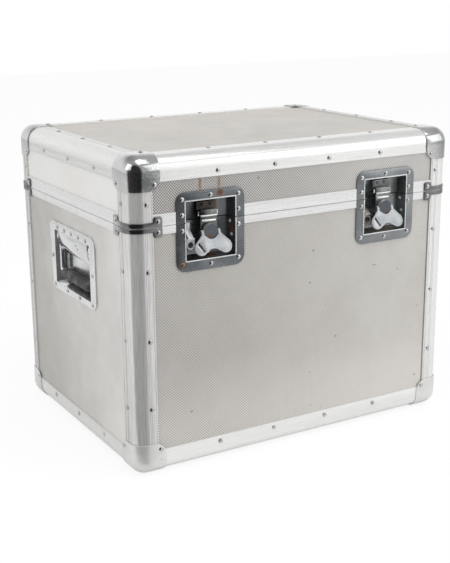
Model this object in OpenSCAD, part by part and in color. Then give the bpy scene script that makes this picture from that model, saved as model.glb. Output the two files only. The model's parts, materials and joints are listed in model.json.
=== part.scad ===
// Deep flight case with a hinged lid, two butterfly latches and two sprung side handles.
// Origin: centre of the footprint on the floor. +X runs right along the front, +Z is up, the front faces -Y.

/* [Case] */
// Width over the corner angles
case_w = 520; // [440:2:640]
// Depth over the corner angles
case_d = 386; // [340:2:460]
// Height from the floor to the top of the lid's angles
case_h = 430; // [415:1:520]
// Height of the line where the lid meets the base
split_z = 340; // [335:1:345]
// Thickness of the faced plywood panels
panel_t = 7; // [6:0.5:8]

/* [Angle extrusions] */
// Leg of the corner and edge angles
angle_leg = 33; // [31:0.5:36]
// Wall of the angles
angle_t = 1.8; // [1.5:0.1:2]
// Radius of the rounded nose
nose_r = 20; // [18:0.5:21]
// Wall of the channel lips inside the case
inner_t = 1.5; // [1.2:0.1:1.8]

/* [Lid joint] */
// Height of the outer band on the base
base_band_h = 10.4; // [8:0.2:12]
// Height of the outer band on the lid
lid_band_h = 16; // [12:0.5:18]
// Height of the tongue that locates the lid
tongue_h = 3; // [2:0.1:3]

/* [Corners] */
// Reach of a corner cap along each edge
cap_reach = 44; // [42:0.5:46]
// Thickness of caps and braces
cap_t = 1.5; // [1.2:0.1:1.8]
// Radius of a cap's outer lobe corner
lobe_r = 18; // [12:0.5:19]
// Height of a brace's riveted ear
ear_h = 13; // [11:0.5:14]
// Width of a brace's strap round the corner
strap_h = 6; // [5:0.5:8]

/* [Latches] */
// Distance of each latch from the middle of the front
latch_x = 143.5; // [120:0.5:150]
// Width of a latch dish over its flange
latch_w = 102; // [100:0.5:106]
// Height of the spindle's axis
spindle_z = 325; // [324:0.5:325.5]
// Angle at which the wing hangs out from the dish
wing_rest = 18; // [14:1:20]
// Half width over the wing's two lobes
wing_half = 27.5; // [26:0.25:28]

/* [Handles] */
// Length of a handle dish over its flange
handle_w = 160; // [156:1:164]
// Height of a handle dish over its flange
handle_h = 102; // [101:0.5:103]
// Height of a handle dish's centre
handle_z = 254.5; // [250:0.5:256]
// Radius of the rubber grip
grip_r = 8; // [7:0.25:8]

/* [Hinges] */
// Distance of each hinge from the middle of the rear
hinge_x = 150; // [120:1:160]
// Width of a hinge leaf
hinge_w = 60; // [50:1:64]

/* [Foam] */
// Thickness of the wall liners
liner_t = 19; // [17:0.5:24]
// Thickness of a divider
divider_t = 12; // [8:1:16]
// Height of the dividers' top edge
divider_z = 250; // [200:5:260]

/* [Hidden] */
$fn = 64;

half_w = case_w / 2;
half_d = case_d / 2;
// the angles' lowest face stands on the caps
floor_gap = cap_t;
joint_gap = 0.2;
// extrusions stop just outside the legs of those they meet
end_in = angle_leg + 0.2;
// inner face of a panel and of the channel lips, measured in from the angles' outer face
panel_in = angle_t + panel_t;
lip_in = panel_in + inner_t;
web_t = 2;
panel_edge = nose_r + web_t;
base_top = split_z - joint_gap / 2;
lid_bottom = split_z + joint_gap / 2;
base_web_t = 2;
lid_web_t = 6;

// places of the rivet rows
rivet_r = 3.4;
rivet_h = 1.4;
rivet_in = 24.5;
rivet_pitch = 88;
cap_rivet_in = 35.5;
front_rivets = [-1.5, -0.5, 0.5, 1.5] * rivet_pitch;
side_rivets = [-1, 0, 1] * rivet_pitch;
base_post_rivets = [95, 189, 282];
lid_post_rivet_z = 370;

// latch: depths are measured in from the dish flange's outer face
flange_t = 2;
dish_face_y = -half_d + angle_t - flange_t;
dish_wall = 1.5;
dish_depth = 16;
dish_taper = 4;
dish_half = 37;
dish_corner_r = 14;
dish_low = 275;
dish_high = 380;
pocket_low = 289.5;
pocket_high = 367.5;
dish_gap = 0.5;
pin_depth = 2.2;
wing_pin_r = 1.5;
drum_r = 10;
eccentric = 2;
eccentric_r = 6;
shaft_r = 3.6;
run_fit = 0.05;
hook_front = 5.6;
hook_t = 1.8;
hook_half = 12.5;
hook_top = 352.8;
keeper_face = 11.3;
keeper_half = 15;
keeper_top = 363;
wing_t = 1.8;
eye_x = -28.3;
eye_z = 309;

// handle: depths are measured in from the dish flange's outer face
handle_face_x = -half_w + angle_t - flange_t;
handle_depth = 17;
handle_pocket_half = 62;
handle_pocket_low = handle_z - 41.5;
handle_pocket_high = handle_z + 38.5;
bail_depth = 8;
bail_pivot_z = handle_z + 29.5;
bail_grip_z = handle_z - 24.5;
bail_y = 55.2;
bail_r = 3.5;
bend_r = 8;
pivot_r = 3;
cover_half = 51;

hinge_y = half_d + 3;
knuckle_r = 4.5;
hinge_pin_r = 2.5;
knuckle_len = 19.6;
hinge_low = 290;
hinge_high = 385;

foam_in = lip_in + 0.5;
foam_floor_z = floor_gap + lip_in;
foam_floor_t = 15;
cross_x = [-1, 0, 1] * (half_w - foam_in - liner_t) / 2;

// A square of side s whose corner at the origin has radius r
module nosed_square(s, r) {
    difference() {
        square(s);
        difference() {
            translate([-1, -1]) square(r + 1);
            translate([r, r]) circle(r);
        }
    }
}

// Section of the angle extrusions: outer corner at the origin, rounded nose, and on each leg the
// channel that holds a panel's edge
module angle_section(grooved) {
    difference() {
        union() {
            difference() {
                nosed_square(angle_leg, nose_r);
                translate([angle_t, angle_t]) nosed_square(angle_leg, nose_r - angle_t);
            }
            difference() {
                translate([panel_in, panel_in]) square(angle_leg - panel_in);
                translate([lip_in, lip_in]) square(angle_leg);
            }
            translate([nose_r, angle_t / 2]) square([web_t, panel_in]);
            translate([angle_t / 2, nose_r]) square([panel_in, web_t]);
        }
        if (grooved) {
            for (u = [nose_r + 1.2, nose_r + 3.6, angle_leg - 2.6]) {
                translate([u, -1]) square([0.8, 1.35]);
                translate([-1, u]) square([1.35, 0.8]);
            }
        }
    }
}

// An upright angle at the front left corner
module post(z0, z1) {
    translate([-half_w, -half_d, z0]) linear_extrude(z1 - z0) angle_section(true);
}

// Copies of a front left piece at all four upright corners
module four_corners() {
    for (mx = [0, 1]) {
        for (my = [0, 1]) {
            mirror([mx, 0, 0]) mirror([0, my, 0]) children();
        }
    }
}

// A bottom edge angle along the front, and one along the left side
module edge_along_x(grooved) {
    translate([0, -half_d, 0]) rotate([90, 0, 90])
        linear_extrude(case_w - 2 * end_in, center = true) angle_section(grooved);
}

module edge_along_y(grooved) {
    translate([-half_w, 0, 0]) rotate([90, 0, 0])
        linear_extrude(case_d - 2 * end_in, center = true) angle_section(grooved);
}

module to_base() {
    translate([0, 0, floor_gap]) children();
}

module to_lid() {
    translate([0, 0, case_h]) mirror([0, 0, 1]) children();
}

// A wall panel along the front, between two heights
module wall_x(z0, z1) {
    translate([panel_edge - half_w, angle_t - half_d, z0])
        cube([case_w - 2 * panel_edge, panel_t, z1 - z0]);
}

// A wall panel along the left side, between two heights
module wall_y(z0, z1) {
    translate([angle_t - half_w, panel_edge - half_d, z0])
        cube([panel_t, case_d - 2 * panel_edge, z1 - z0]);
}

// The room that the two latch dishes need in the front wall and in the lid joint
module latch_cutout(half, y0, y1, z0, z1) {
    for (side = [-1, 1]) {
        translate([side * latch_x - half, y0, z0]) cube([2 * half, y1 - y0, z1 - z0]);
    }
}

module front_cutout() {
    latch_cutout(dish_half + 2, -half_d - 5, -half_d + 30, pocket_low - 2, pocket_high + 2);
}

// The room that a handle dish needs in the left wall
module handle_cutout() {
    translate([-half_w - 5, -handle_pocket_half - 2, handle_pocket_low - 2])
        cube([40, 2 * handle_pocket_half + 4, handle_pocket_high - handle_pocket_low + 4]);
}

module base_front_panel() {
    color("silver") difference() {
        wall_x(floor_gap + panel_edge, base_top - base_web_t);
        front_cutout();
    }
}

module base_rear_panel() {
    color("silver") mirror([0, 1, 0]) wall_x(floor_gap + panel_edge, base_top - base_web_t);
}

module base_left_panel() {
    color("silver") difference() {
        wall_y(floor_gap + panel_edge, base_top - base_web_t);
        handle_cutout();
    }
}

module base_right_panel() {
    mirror([1, 0, 0]) base_left_panel();
}

// A floor or top panel, lying just inside the angles' outer face
module flat_panel() {
    translate([panel_edge - half_w, panel_edge - half_d, angle_t])
        cube([case_w - 2 * panel_edge, case_d - 2 * panel_edge, panel_t]);
}

module base_floor_panel() {
    color("silver") to_base() flat_panel();
}

module base_corner_angles() {
    color("gainsboro") four_corners() post(floor_gap + end_in, base_top);
}

module base_front_edge_angle() {
    color("gainsboro") to_base() edge_along_x(false);
}

module base_rear_edge_angle() {
    mirror([0, 1, 0]) base_front_edge_angle();
}

module base_left_edge_angle() {
    color("gainsboro") to_base() edge_along_y(false);
}

module base_right_edge_angle() {
    mirror([1, 0, 0]) base_left_edge_angle();
}

// Section of the base's lid joint: a channel on the panel's edge with a tongue on top.
// x is the distance in from the outer face and y the height above the base's top face.
module base_closure_section() {
    translate([0, -base_band_h]) square([angle_t, base_band_h]);
    translate([0, -base_web_t]) square([lip_in, base_web_t]);
    translate([panel_in, -base_band_h]) square([inner_t, base_band_h]);
    translate([5, -base_web_t]) square([2.2, base_web_t + tongue_h]);
}

// Section of the lid's half: a channel with the groove that takes the tongue
module lid_closure_section() {
    difference() {
        union() {
            square([angle_t, lid_band_h]);
            square([lip_in, lid_web_t]);
            translate([panel_in, 0]) square([inner_t, lid_band_h]);
        }
        translate([4.2, -1]) square([3.8, tongue_h + 1.8]);
    }
}

// Lays a closure section along the front and the rear
module closure_x(z) {
    for (my = [0, 1]) {
        mirror([0, my, 0]) translate([0, -half_d, z]) rotate([90, 0, 90])
            linear_extrude(case_w - 2 * end_in, center = true) children();
    }
}

// Lays a closure section along both sides, in lengths that butt at the given places
module closure_y(z, butts) {
    for (mx = [0, 1]) {
        mirror([mx, 0, 0]) difference() {
            translate([-half_w, 0, z]) rotate([90, 0, 0])
                linear_extrude(case_d - 2 * end_in, center = true) children();
            for (y = butts) {
                translate([-half_w - 1, y - 0.2, z - 20]) cube([20, 0.4, 40]);
            }
        }
    }
}

// The parts of the lid joint that give way to latch dishes and hinge leaves
module closure_cutouts() {
    latch_cutout(latch_w / 2 + 0.2, -half_d - 1, -half_d + angle_t, split_z - 30, split_z + 30);
    latch_cutout(dish_half + 2, -half_d - 1, -half_d + lip_in + 1, split_z - 30, split_z + 30);
    for (side = [-1, 1]) {
        translate([side * hinge_x - hinge_w / 2 - 0.2, half_d - angle_t, split_z - 30])
            cube([hinge_w + 0.4, angle_t + 1, 60]);
    }
}

module base_closure() {
    color("gainsboro") difference() {
        union() {
            closure_x(base_top) base_closure_section();
            closure_y(base_top, [-23.5, 90]) base_closure_section();
        }
        closure_cutouts();
    }
}

module lid_closure() {
    color("gainsboro") difference() {
        union() {
            closure_x(lid_bottom) lid_closure_section();
            closure_y(lid_bottom, [88]) lid_closure_section();
        }
        closure_cutouts();
    }
}

// Quarter of a ring between the inner and outer radius of a cap
cap_inner_r = nose_r - 0.2;
cap_outer_r = cap_inner_r + cap_t;
module quarter_ring() {
    difference() {
        circle(cap_outer_r);
        circle(cap_inner_r);
        translate([-2 * nose_r, -2 * nose_r]) square([4 * nose_r, 2 * nose_r]);
        translate([-2 * nose_r, -2 * nose_r]) square([2 * nose_r, 4 * nose_r]);
    }
}

// One flat lobe of a cap, its far corner rounded
module lobe() {
    reach = cap_reach + cap_t - cap_outer_r;
    linear_extrude(cap_t) difference() {
        square(reach);
        translate([reach - lobe_r, reach - lobe_r]) difference() {
            square(lobe_r + 1);
            circle(lobe_r);
        }
    }
}

// One arm of a cap: the rounded edge and the lobe beside it
module cap_arm() {
    translate([cap_outer_r, cap_outer_r, cap_outer_r]) rotate([0, 0, 180])
        linear_extrude(cap_reach + cap_t - cap_outer_r) quarter_ring();
    translate([cap_outer_r, cap_outer_r, 0]) lobe();
}

// A ball corner cap with three lobes. Its outer planes pass through the origin.
module corner_cap() {
    union() {
        cap_arm();
        mirror([1, 0, -1]) cap_arm();
        mirror([0, 1, -1]) cap_arm();
        translate([cap_outer_r, cap_outer_r, cap_outer_r]) rotate([180, 0, -90])
            rotate_extrude(angle = 90) quarter_ring();
    }
}

module base_corner_caps() {
    color("lightgray") four_corners() translate([-half_w - cap_t, -half_d - cap_t, 0]) corner_cap();
}

module lid_corner_caps() {
    color("silver") four_corners() translate([-half_w - cap_t, -half_d - cap_t, case_h + cap_t])
        mirror([0, 0, 1]) corner_cap();
}

// A riveted ear, standing on the brace's lower edge
module ear() {
    ear_w = 13;
    rotate([90, 0, 0]) translate([0, 0, -cap_t]) linear_extrude(cap_t) difference() {
        square([ear_w, ear_h]);
        translate([ear_w - 4, ear_h - 4]) difference() {
            square(5);
            circle(4);
        }
        translate([0, ear_h - 4]) difference() {
            translate([-1, 0]) square(5);
            translate([4, 0]) circle(4);
        }
    }
}

module brace_side() {
    ear_start = angle_leg - 0.5 + cap_t;
    translate([cap_outer_r, 0, 0]) cube([ear_start - cap_outer_r + 4, cap_t, strap_h]);
    translate([ear_start, 0, 0]) ear();
}

// A brace at the front left corner: a strap round the nose with an ear at each end. It stands on z = 0.
module brace() {
    translate([-half_w - cap_t, -half_d - cap_t, 0]) {
        brace_side();
        mirror([1, -1, 0]) brace_side();
        translate([cap_outer_r, cap_outer_r, 0]) rotate([0, 0, 180])
            linear_extrude(strap_h) quarter_ring();
    }
}

module base_corner_braces() {
    color("dimgray") four_corners() translate([0, 0, split_z - 0.6]) mirror([0, 0, 1]) brace();
}

module lid_corner_braces() {
    color("dimgray") four_corners() translate([0, 0, split_z + 0.6]) brace();
}

// A tapered pocket that runs in from the flange: the walls at x0, x1 and one end lean inwards
module pocket(x0, x1, z0, z1, low_taper, high_taper, depth, taper) {
    intersection() {
        translate([0, 0, z0]) linear_extrude(z1 - z0)
            polygon([[x0, -1], [x1, -1], [x1, 0], [x1 - taper, depth], [x0 + taper, depth], [x0, 0]]);
        translate([x0, 0, 0]) rotate([90, 0, 90]) linear_extrude(x1 - x0)
            polygon([[-1, z0], [0, z0], [depth, z0 + low_taper], [depth, z1 - high_taper], [0, z1], [-1, z1]]);
    }
}

// Outline of a latch dish's flange between two heights, rounded where the dish is closed
module flange(z0, z1, top_round) {
    r = dish_corner_r;
    half = latch_w / 2;
    rotate([90, 0, 0]) translate([0, 0, -flange_t]) linear_extrude(flange_t) difference() {
        translate([-half, z0]) square([latch_w, z1 - z0]);
        for (s = [-1, 1]) {
            zc = top_round ? z1 - r : z0 + r;
            translate([s * (half - r), zc]) difference() {
                translate([s > 0 ? 0 : -r - 1, top_round ? 0 : -r - 1]) square(r + 1);
                circle(r);
            }
        }
    }
}

// The raised line round the mouth of a dish
module dish_bead(z0, z1, top_closed) {
    bead = 1.2;
    rise = 0.5;
    half = dish_half + bead;
    for (s = [-1, 1]) {
        translate([s > 0 ? dish_half : -half, -rise, z0]) cube([bead, rise, z1 - z0]);
    }
    translate([-half, -rise, top_closed ? z1 : z0 - bead]) cube([2 * half, rise, bead]);
}

module dish(z0, z1, p0, p1, top_closed) {
    w = dish_wall;
    low = top_closed ? 0 : dish_taper;
    high = top_closed ? dish_taper : 0;
    difference() {
        union() {
            flange(z0, z1, top_closed);
            pocket(-dish_half - w, dish_half + w, top_closed ? p0 : p0 - w, top_closed ? p1 + w : p1,
                low, high, dish_depth + w, dish_taper);
            dish_bead(p0, p1, top_closed);
        }
        pocket(-dish_half, dish_half, top_closed ? p0 - 1 : p0, top_closed ? p1 : p1 + 1,
            low, high, dish_depth, dish_taper);
        translate([-60, -9, z0 - 5]) cube([120, 9 - 0.5, z1 - z0 + 10]);
    }
}

// Places a latch piece: depth 0 is the flange's outer face
module at_latch(side) {
    translate([side * latch_x, dish_face_y, 0]) children();
}

module latch_dish_lower(side) {
    color("dimgray") at_latch(side) difference() {
        dish(dish_low, split_z - dish_gap, pocket_low, split_z - dish_gap, false);
        translate([0, dish_depth - 1, spindle_z]) rotate([-90, 0, 0]) cylinder(r = shaft_r + run_fit, h = 5);
    }
}

module latch_dish_upper(side) {
    color("dimgray") at_latch(side)
        dish(split_z + dish_gap, dish_high, split_z + dish_gap, pocket_high, true);
}

module latch_dish_lower_left() {
    latch_dish_lower(-1);
}

module latch_dish_lower_right() {
    latch_dish_lower(1);
}

module latch_dish_upper_left() {
    latch_dish_upper(-1);
}

module latch_dish_upper_right() {
    latch_dish_upper(1);
}

// Padlock eye: a strap that rises from the dish's back to a plate with a hole
module padlock_eye(side) {
    plate_depth = 3.4;
    eye_half = 6.2;
    eye_t = 1.8;
    foot_z = eye_z + 28;
    bend_z = eye_z + 9;
    color("gray") at_latch(side) difference() {
        union() {
            translate([eye_x, plate_depth, eye_z]) rotate([-90, 0, 0]) cylinder(r = eye_half, h = eye_t);
            translate([eye_x - eye_half, plate_depth, eye_z]) cube([2 * eye_half, eye_t, bend_z - eye_z]);
            translate([eye_x - 3.2, 0, 0]) rotate([90, 0, 90]) linear_extrude(8) polygon([
                [plate_depth, bend_z - 2], [plate_depth + eye_t, bend_z - 2],
                [dish_depth, foot_z - 10], [dish_depth, foot_z],
                [dish_depth - eye_t, foot_z], [dish_depth - eye_t, foot_z - 9.3],
                [plate_depth, bend_z]]);
        }
        translate([eye_x, 0, eye_z]) rotate([-90, 0, 0]) cylinder(r = 4, h = 12);
    }
}

module padlock_eye_left() {
    padlock_eye(-1);
}

module padlock_eye_right() {
    padlock_eye(1);
}

// Keeper: a hat-shaped bracket whose lower edge turns out and up into the lip that the hook takes
module latch_keeper(side) {
    plate_t = 1.6;
    lip_face = hook_front + hook_t + 0.4;
    lip_t = 1.4;
    color("silver") at_latch(side) {
        translate([-keeper_half, 0, 0]) rotate([90, 0, 90]) linear_extrude(2 * keeper_half) polygon([
            [lip_face, 345.4], [keeper_face + plate_t, 345.4], [keeper_face + plate_t, keeper_top - plate_t],
            [dish_depth, keeper_top - plate_t], [dish_depth, keeper_top], [keeper_face, keeper_top],
            [keeper_face, 346.8],
            [lip_face + lip_t, 346.8], [lip_face + lip_t, 351], [lip_face, 351]]);
        for (x = [-keeper_half, keeper_half - plate_t]) {
            translate([x, keeper_face + plate_t, 348])
                cube([plate_t, dish_depth - keeper_face - plate_t, keeper_top - plate_t - 348]);
        }
        for (x = [-6, 6]) {
            translate([x, keeper_face, keeper_top - 3.6]) rotate([90, 0, 0]) cylinder(r1 = 2.2, r2 = 1.4, h = 1);
        }
    }
}

module latch_keeper_left() {
    latch_keeper(-1);
}

module latch_keeper_right() {
    latch_keeper(1);
}

// Hook: a flat tongue whose top turns over the keeper's lip, and whose lower end is a yoke round
// the spindle's eccentric
module latch_hook(side) {
    yoke_low = spindle_z - eccentric - 11;
    turn_front = hook_front + hook_t + 2.2;
    turn_back = turn_front + 1.3;
    window = [eccentric_r + eccentric + 0.3, eccentric_r + 0.6];
    color("lightgray") at_latch(side) difference() {
        union() {
            translate([-hook_half, 0, 0]) rotate([90, 0, 90]) linear_extrude(2 * hook_half) polygon([
                [hook_front, yoke_low], [hook_front + hook_t, yoke_low], [hook_front + hook_t, 351.2],
                [turn_front, 351.2], [turn_front, 348.4], [turn_back, 348.4], [turn_back, hook_top],
                [hook_front, hook_top]]);
            translate([-hook_half + 2, hook_front + 0.9, 338.4]) rotate([0, 90, 0])
                cylinder(r = 1.9, h = 2 * hook_half - 4);
            translate([-hook_half, hook_front, 345]) rotate([0, 90, 0]) cylinder(r = 1.3, h = 2 * hook_half);
        }
        translate([-hook_half - 1, hook_front + hook_t, 330]) cube([2 * hook_half + 2, 5, 18]);
        translate([-window[0], 0, spindle_z - eccentric - window[1]])
            cube([2 * window[0], 12, 2 * window[1]]);
    }
}

module latch_hook_left() {
    latch_hook(-1);
}

module latch_hook_right() {
    latch_hook(1);
}

// Spindle: the drum that carries the wing, the eccentric under it, and the shaft through the dish
module latch_spindle(side) {
    ring_depth = dish_depth + dish_wall + 0.4;
    color("gray") at_latch(side) difference() {
        union() {
            translate([0, -1, spindle_z]) rotate([-90, 0, 0]) cylinder(r = drum_r, h = 6);
            translate([0, 5, spindle_z - eccentric]) rotate([-90, 0, 0]) cylinder(r = eccentric_r, h = 3);
            translate([0, 8, spindle_z]) rotate([-90, 0, 0]) cylinder(r = shaft_r, h = ring_depth + 1.6 - 8);
            translate([0, ring_depth, spindle_z]) rotate([-90, 0, 0]) cylinder(r = 7, h = 1.6);
        }
        translate([-drum_r - 1, pin_depth, spindle_z]) rotate([0, 90, 0])
            cylinder(r = wing_pin_r, h = 2 * drum_r + 2);
    }
}

module latch_spindle_left() {
    latch_spindle(-1);
}

module latch_spindle_right() {
    latch_spindle(1);
}

// Cross pin on which a wing folds
module latch_wing_pin(side) {
    color("silver") at_latch(side) translate([-14.2, pin_depth, spindle_z]) rotate([0, 90, 0])
        cylinder(r = wing_pin_r, h = 28.4);
}

module latch_wing_pin_left() {
    latch_wing_pin(-1);
}

module latch_wing_pin_right() {
    latch_wing_pin(1);
}

// Outline of the wing, the pin's axis at the origin and the lobes below it
module wing_outline() {
    shoulder = 14;
    lobe_c = 18;
    lobe_w = 21.5;
    lobe_rad = wing_half - lobe_c;
    difference() {
        union() {
            translate([-shoulder, -12]) square([2 * shoulder, 12]);
            for (s = [-1, 1]) {
                translate([s * lobe_c, -lobe_w]) circle(lobe_rad);
            }
            polygon([[-shoulder, -4], [shoulder, -4], [24, -14.2], [lobe_c, -30], [4, -24],
                [-4, -24], [-lobe_c, -30], [-24, -14.2]]);
        }
        circle(drum_r + 0.8);
        translate([-drum_r - 0.5, -6]) square([2 * drum_r + 1, 12]);
        translate([0, -30]) circle(6.5);
    }
}

// Wing in its flat position: the plate in front of the pin's axis, and the two arms that hold it
module wing_flat() {
    arm_x = drum_r + 0.5;
    arm_w = 3.5;
    arm_r = 2.6;
    slot_a = [-20.5, -15.5];
    slot_b = [-14.5, -25.5];
    difference() {
        union() {
            translate([0, -arm_r, 0]) rotate([90, 0, 0]) translate([0, 0, -wing_t])
                linear_extrude(wing_t) wing_outline();
            for (s = [-1, 1]) {
                translate([s > 0 ? arm_x : -arm_x - arm_w, 0, 0]) rotate([0, 90, 0])
                    cylinder(r = arm_r - 0.2, h = arm_w);
                translate([s > 0 ? arm_x : -arm_x - arm_w, -arm_r, -6]) cube([arm_w, arm_r, 6]);
            }
        }
        translate([-20, 0, 0]) rotate([0, 90, 0]) cylinder(r = wing_pin_r + run_fit, h = 40);
        for (p = [slot_a, slot_b]) {
            translate([p[0], -9, p[1]]) rotate([-90, 0, 0]) cylinder(r = 1.8, h = 12);
        }
        slot_len = norm(slot_b - slot_a);
        slot_turn = atan2(slot_b[1] - slot_a[1], slot_b[0] - slot_a[0]);
        translate([slot_a[0], 0, slot_a[1]]) rotate([0, -slot_turn, 0])
            translate([0, -9, -1.6]) cube([slot_len, 12, 3.2]);
    }
}

module latch_wing(side) {
    color("whitesmoke") at_latch(side) translate([0, pin_depth, spindle_z])
        rotate([-wing_rest, 0, 0]) wing_flat();
}

module latch_wing_left() {
    latch_wing(-1);
}

module latch_wing_right() {
    latch_wing(1);
}

// Places a handle piece: x is the depth in from the flange's outer face of the left handle
module at_handle() {
    translate([handle_face_x, 0, 0]) children();
}

// A pocket turned to run in along +X
module side_pocket(half, z0, z1, depth, taper) {
    intersection() {
        translate([0, 0, z0]) linear_extrude(z1 - z0)
            polygon([[-1, -half], [0, -half], [depth, taper - half], [depth, half - taper], [0, half], [-1, half]]);
        translate([0, half, 0]) rotate([90, 0, 0]) linear_extrude(2 * half)
            polygon([[-1, z0], [0, z0], [depth, z0 + taper], [depth, z1 - taper], [0, z1], [-1, z1]]);
    }
}

// A flat plate with four rounded corners, lying in the Y-Z plane
module round_plate(w, z0, z1, r, t) {
    rotate([90, 0, 90]) linear_extrude(t) difference() {
        translate([-w / 2, z0]) square([w, z1 - z0]);
        for (s = [-1, 1]) {
            for (zc = [z0 + r, z1 - r]) {
                translate([s * (w / 2 - r), zc]) difference() {
                    translate([s > 0 ? 0 : -r - 1, zc > (z0 + z1) / 2 ? 0 : -r - 1]) square(r + 1);
                    circle(r);
                }
            }
        }
    }
}

module handle_dish_left() {
    color("silver") at_handle() difference() {
        union() {
            round_plate(handle_w, handle_z - handle_h / 2, handle_z + handle_h / 2, 15, flange_t);
            side_pocket(handle_pocket_half + dish_wall, handle_pocket_low - dish_wall,
                handle_pocket_high + dish_wall, handle_depth + dish_wall, 3);
        }
        side_pocket(handle_pocket_half, handle_pocket_low, handle_pocket_high, handle_depth, 3);
        translate([-9, -90, 100]) cube([9, 180, 300]);
    }
}

module handle_dish_right() {
    mirror([1, 0, 0]) handle_dish_left();
}

// Cover over the spring: a plate, the barrel for the bail's rod behind it, and two end brackets
module handle_cover_left() {
    barrel_in = 18;
    barrel_out = 50;
    color("silver") at_handle() difference() {
        union() {
            translate([1.2, -cover_half, bail_pivot_z - 7.5]) cube([1.6, 2 * cover_half, 15.7]);
            for (s = [-1, 1]) {
                translate([bail_depth, s > 0 ? barrel_in : -barrel_out, bail_pivot_z]) rotate([-90, 0, 0])
                    cylinder(r = 5.2, h = barrel_out - barrel_in);
                translate([2, s > 0 ? barrel_in : -barrel_out, bail_pivot_z - 3])
                    cube([bail_depth - 2, barrel_out - barrel_in, 6]);
                translate([2, s > 0 ? cover_half - 4 : -cover_half, bail_pivot_z - 6])
                    cube([handle_depth - 2, 4, 12]);
            }
        }
        translate([bail_depth, -70, bail_pivot_z]) rotate([-90, 0, 0]) cylinder(r = pivot_r + run_fit, h = 140);
    }
}

module handle_cover_right() {
    mirror([1, 0, 0]) handle_cover_left();
}

// Sleeve-shaped body of the torsion spring on each pivot rod
module handle_springs() {
    color("dimgray") for (mx = [0, 1]) {
        mirror([mx, 0, 0]) at_handle() translate([bail_depth, -18, bail_pivot_z]) rotate([-90, 0, 0])
            difference() {
                cylinder(r = 4.8, h = 36);
                translate([0, 0, -1]) cylinder(r = pivot_r + 0.4, h = 38);
            }
    }
}

// Bend of the bail that joins an arm to the cross rod: a quarter of a ring, a little thicker than the rods
module bail_bend() {
    translate([0, bail_y - bend_r, bail_grip_z + bend_r]) rotate([-90, 0, 90])
        rotate_extrude(angle = 90) translate([bend_r, 0]) circle(bail_r + 0.3);
}

// Bail: pivot rod, two arms and the cross rod inside the grip, all of round bar
module handle_bail_left() {
    eye_half = 3.9;
    rod_in = 1;
    cross_half = bail_y - bend_r + rod_in;
    arm_low = bail_grip_z + bend_r - rod_in;
    color("silver") at_handle() translate([bail_depth, 0, 0]) union() {
        translate([0, -bail_y - 3, bail_pivot_z]) rotate([-90, 0, 0]) cylinder(r = pivot_r, h = 2 * bail_y + 6);
        translate([0, -cross_half, bail_grip_z]) rotate([-90, 0, 0]) cylinder(r = bail_r, h = 2 * cross_half);
        for (m = [0, 1]) {
            mirror([0, m, 0]) {
                translate([0, bail_y - eye_half, bail_pivot_z]) rotate([-90, 0, 0])
                    cylinder(r = 5.5, h = 2 * eye_half);
                translate([0, bail_y, arm_low]) cylinder(r = bail_r, h = bail_pivot_z - arm_low);
                bail_bend();
            }
        }
    }
}

module handle_bail_right() {
    mirror([1, 0, 0]) handle_bail_left();
}

module handle_grip_left() {
    grip_half = 46;
    color("darkgray") at_handle() translate([bail_depth, -grip_half, bail_grip_z]) rotate([-90, 0, 0])
        difference() {
            union() {
                cylinder(r = grip_r - 0.4, h = 2 * grip_half);
                for (i = [0 : 11]) {
                    translate([0, 0, 3 + i * 7.25]) cylinder(r = grip_r, h = 6.2);
                }
            }
            translate([0, 0, -1]) cylinder(r = bail_r + run_fit, h = 2 * grip_half + 2);
        }
}

module handle_grip_right() {
    mirror([1, 0, 0]) handle_grip_left();
}

// A hinge leaf on the rear wall, its edge notched round the other leaf's knuckles
module hinge_leaf(z0, z1, mine) {
    leaf_face = half_d - angle_t;
    leaf_t = 2;
    thirds = [for (i = [0 : 2]) (i - 1.5) * hinge_w / 3];
    difference() {
        union() {
            translate([-hinge_w / 2, leaf_face, z0]) cube([hinge_w, leaf_t, z1 - z0]);
            for (i = mine) {
                translate([thirds[i] + 0.2, hinge_y, split_z]) rotate([0, 90, 0])
                    cylinder(r = knuckle_r, h = knuckle_len);
            }
        }
        for (i = [0 : 2]) {
            if (len(search(i, mine)) == 0) {
                translate([thirds[i] - 0.2, hinge_y, split_z]) rotate([0, 90, 0])
                    cylinder(r = knuckle_r + 0.4, h = hinge_w / 3 + 0.4);
            }
        }
        translate([-hinge_w, hinge_y, split_z]) rotate([0, 90, 0])
            cylinder(r = hinge_pin_r + run_fit, h = 2 * hinge_w);
    }
}

module hinge_lower_leaves() {
    color("silver") for (side = [-1, 1]) {
        translate([side * hinge_x, 0, 0]) hinge_leaf(hinge_low, base_top - 0.2, [0, 2]);
    }
}

module hinge_upper_leaves() {
    color("silver") for (side = [-1, 1]) {
        translate([side * hinge_x, 0, 0]) hinge_leaf(lid_bottom + 0.2, hinge_high, [1]);
    }
}

module hinge_pins() {
    color("gray") for (side = [-1, 1]) {
        translate([side * hinge_x - hinge_w / 2 - 0.6, hinge_y, split_z]) rotate([0, 90, 0])
            cylinder(r = hinge_pin_r, h = hinge_w + 1.2);
        for (end = [-1, 1]) {
            translate([side * hinge_x + end * (hinge_w / 2 + 0.6) - (end < 0 ? 1.2 : 0), hinge_y, split_z])
                rotate([0, 90, 0]) cylinder(r = 2.9, h = 1.2);
        }
    }
}

module lid_top_panel() {
    color("silver") to_lid() flat_panel();
}

module lid_front_panel() {
    color("silver") difference() {
        wall_x(lid_bottom + lid_web_t, case_h - panel_edge);
        front_cutout();
    }
}

module lid_rear_panel() {
    color("silver") mirror([0, 1, 0]) wall_x(lid_bottom + lid_web_t, case_h - panel_edge);
}

module lid_left_panel() {
    color("silver") wall_y(lid_bottom + lid_web_t, case_h - panel_edge);
}

module lid_right_panel() {
    mirror([1, 0, 0]) lid_left_panel();
}

module lid_front_edge_angle() {
    color("gainsboro") to_lid() edge_along_x(true);
}

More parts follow.
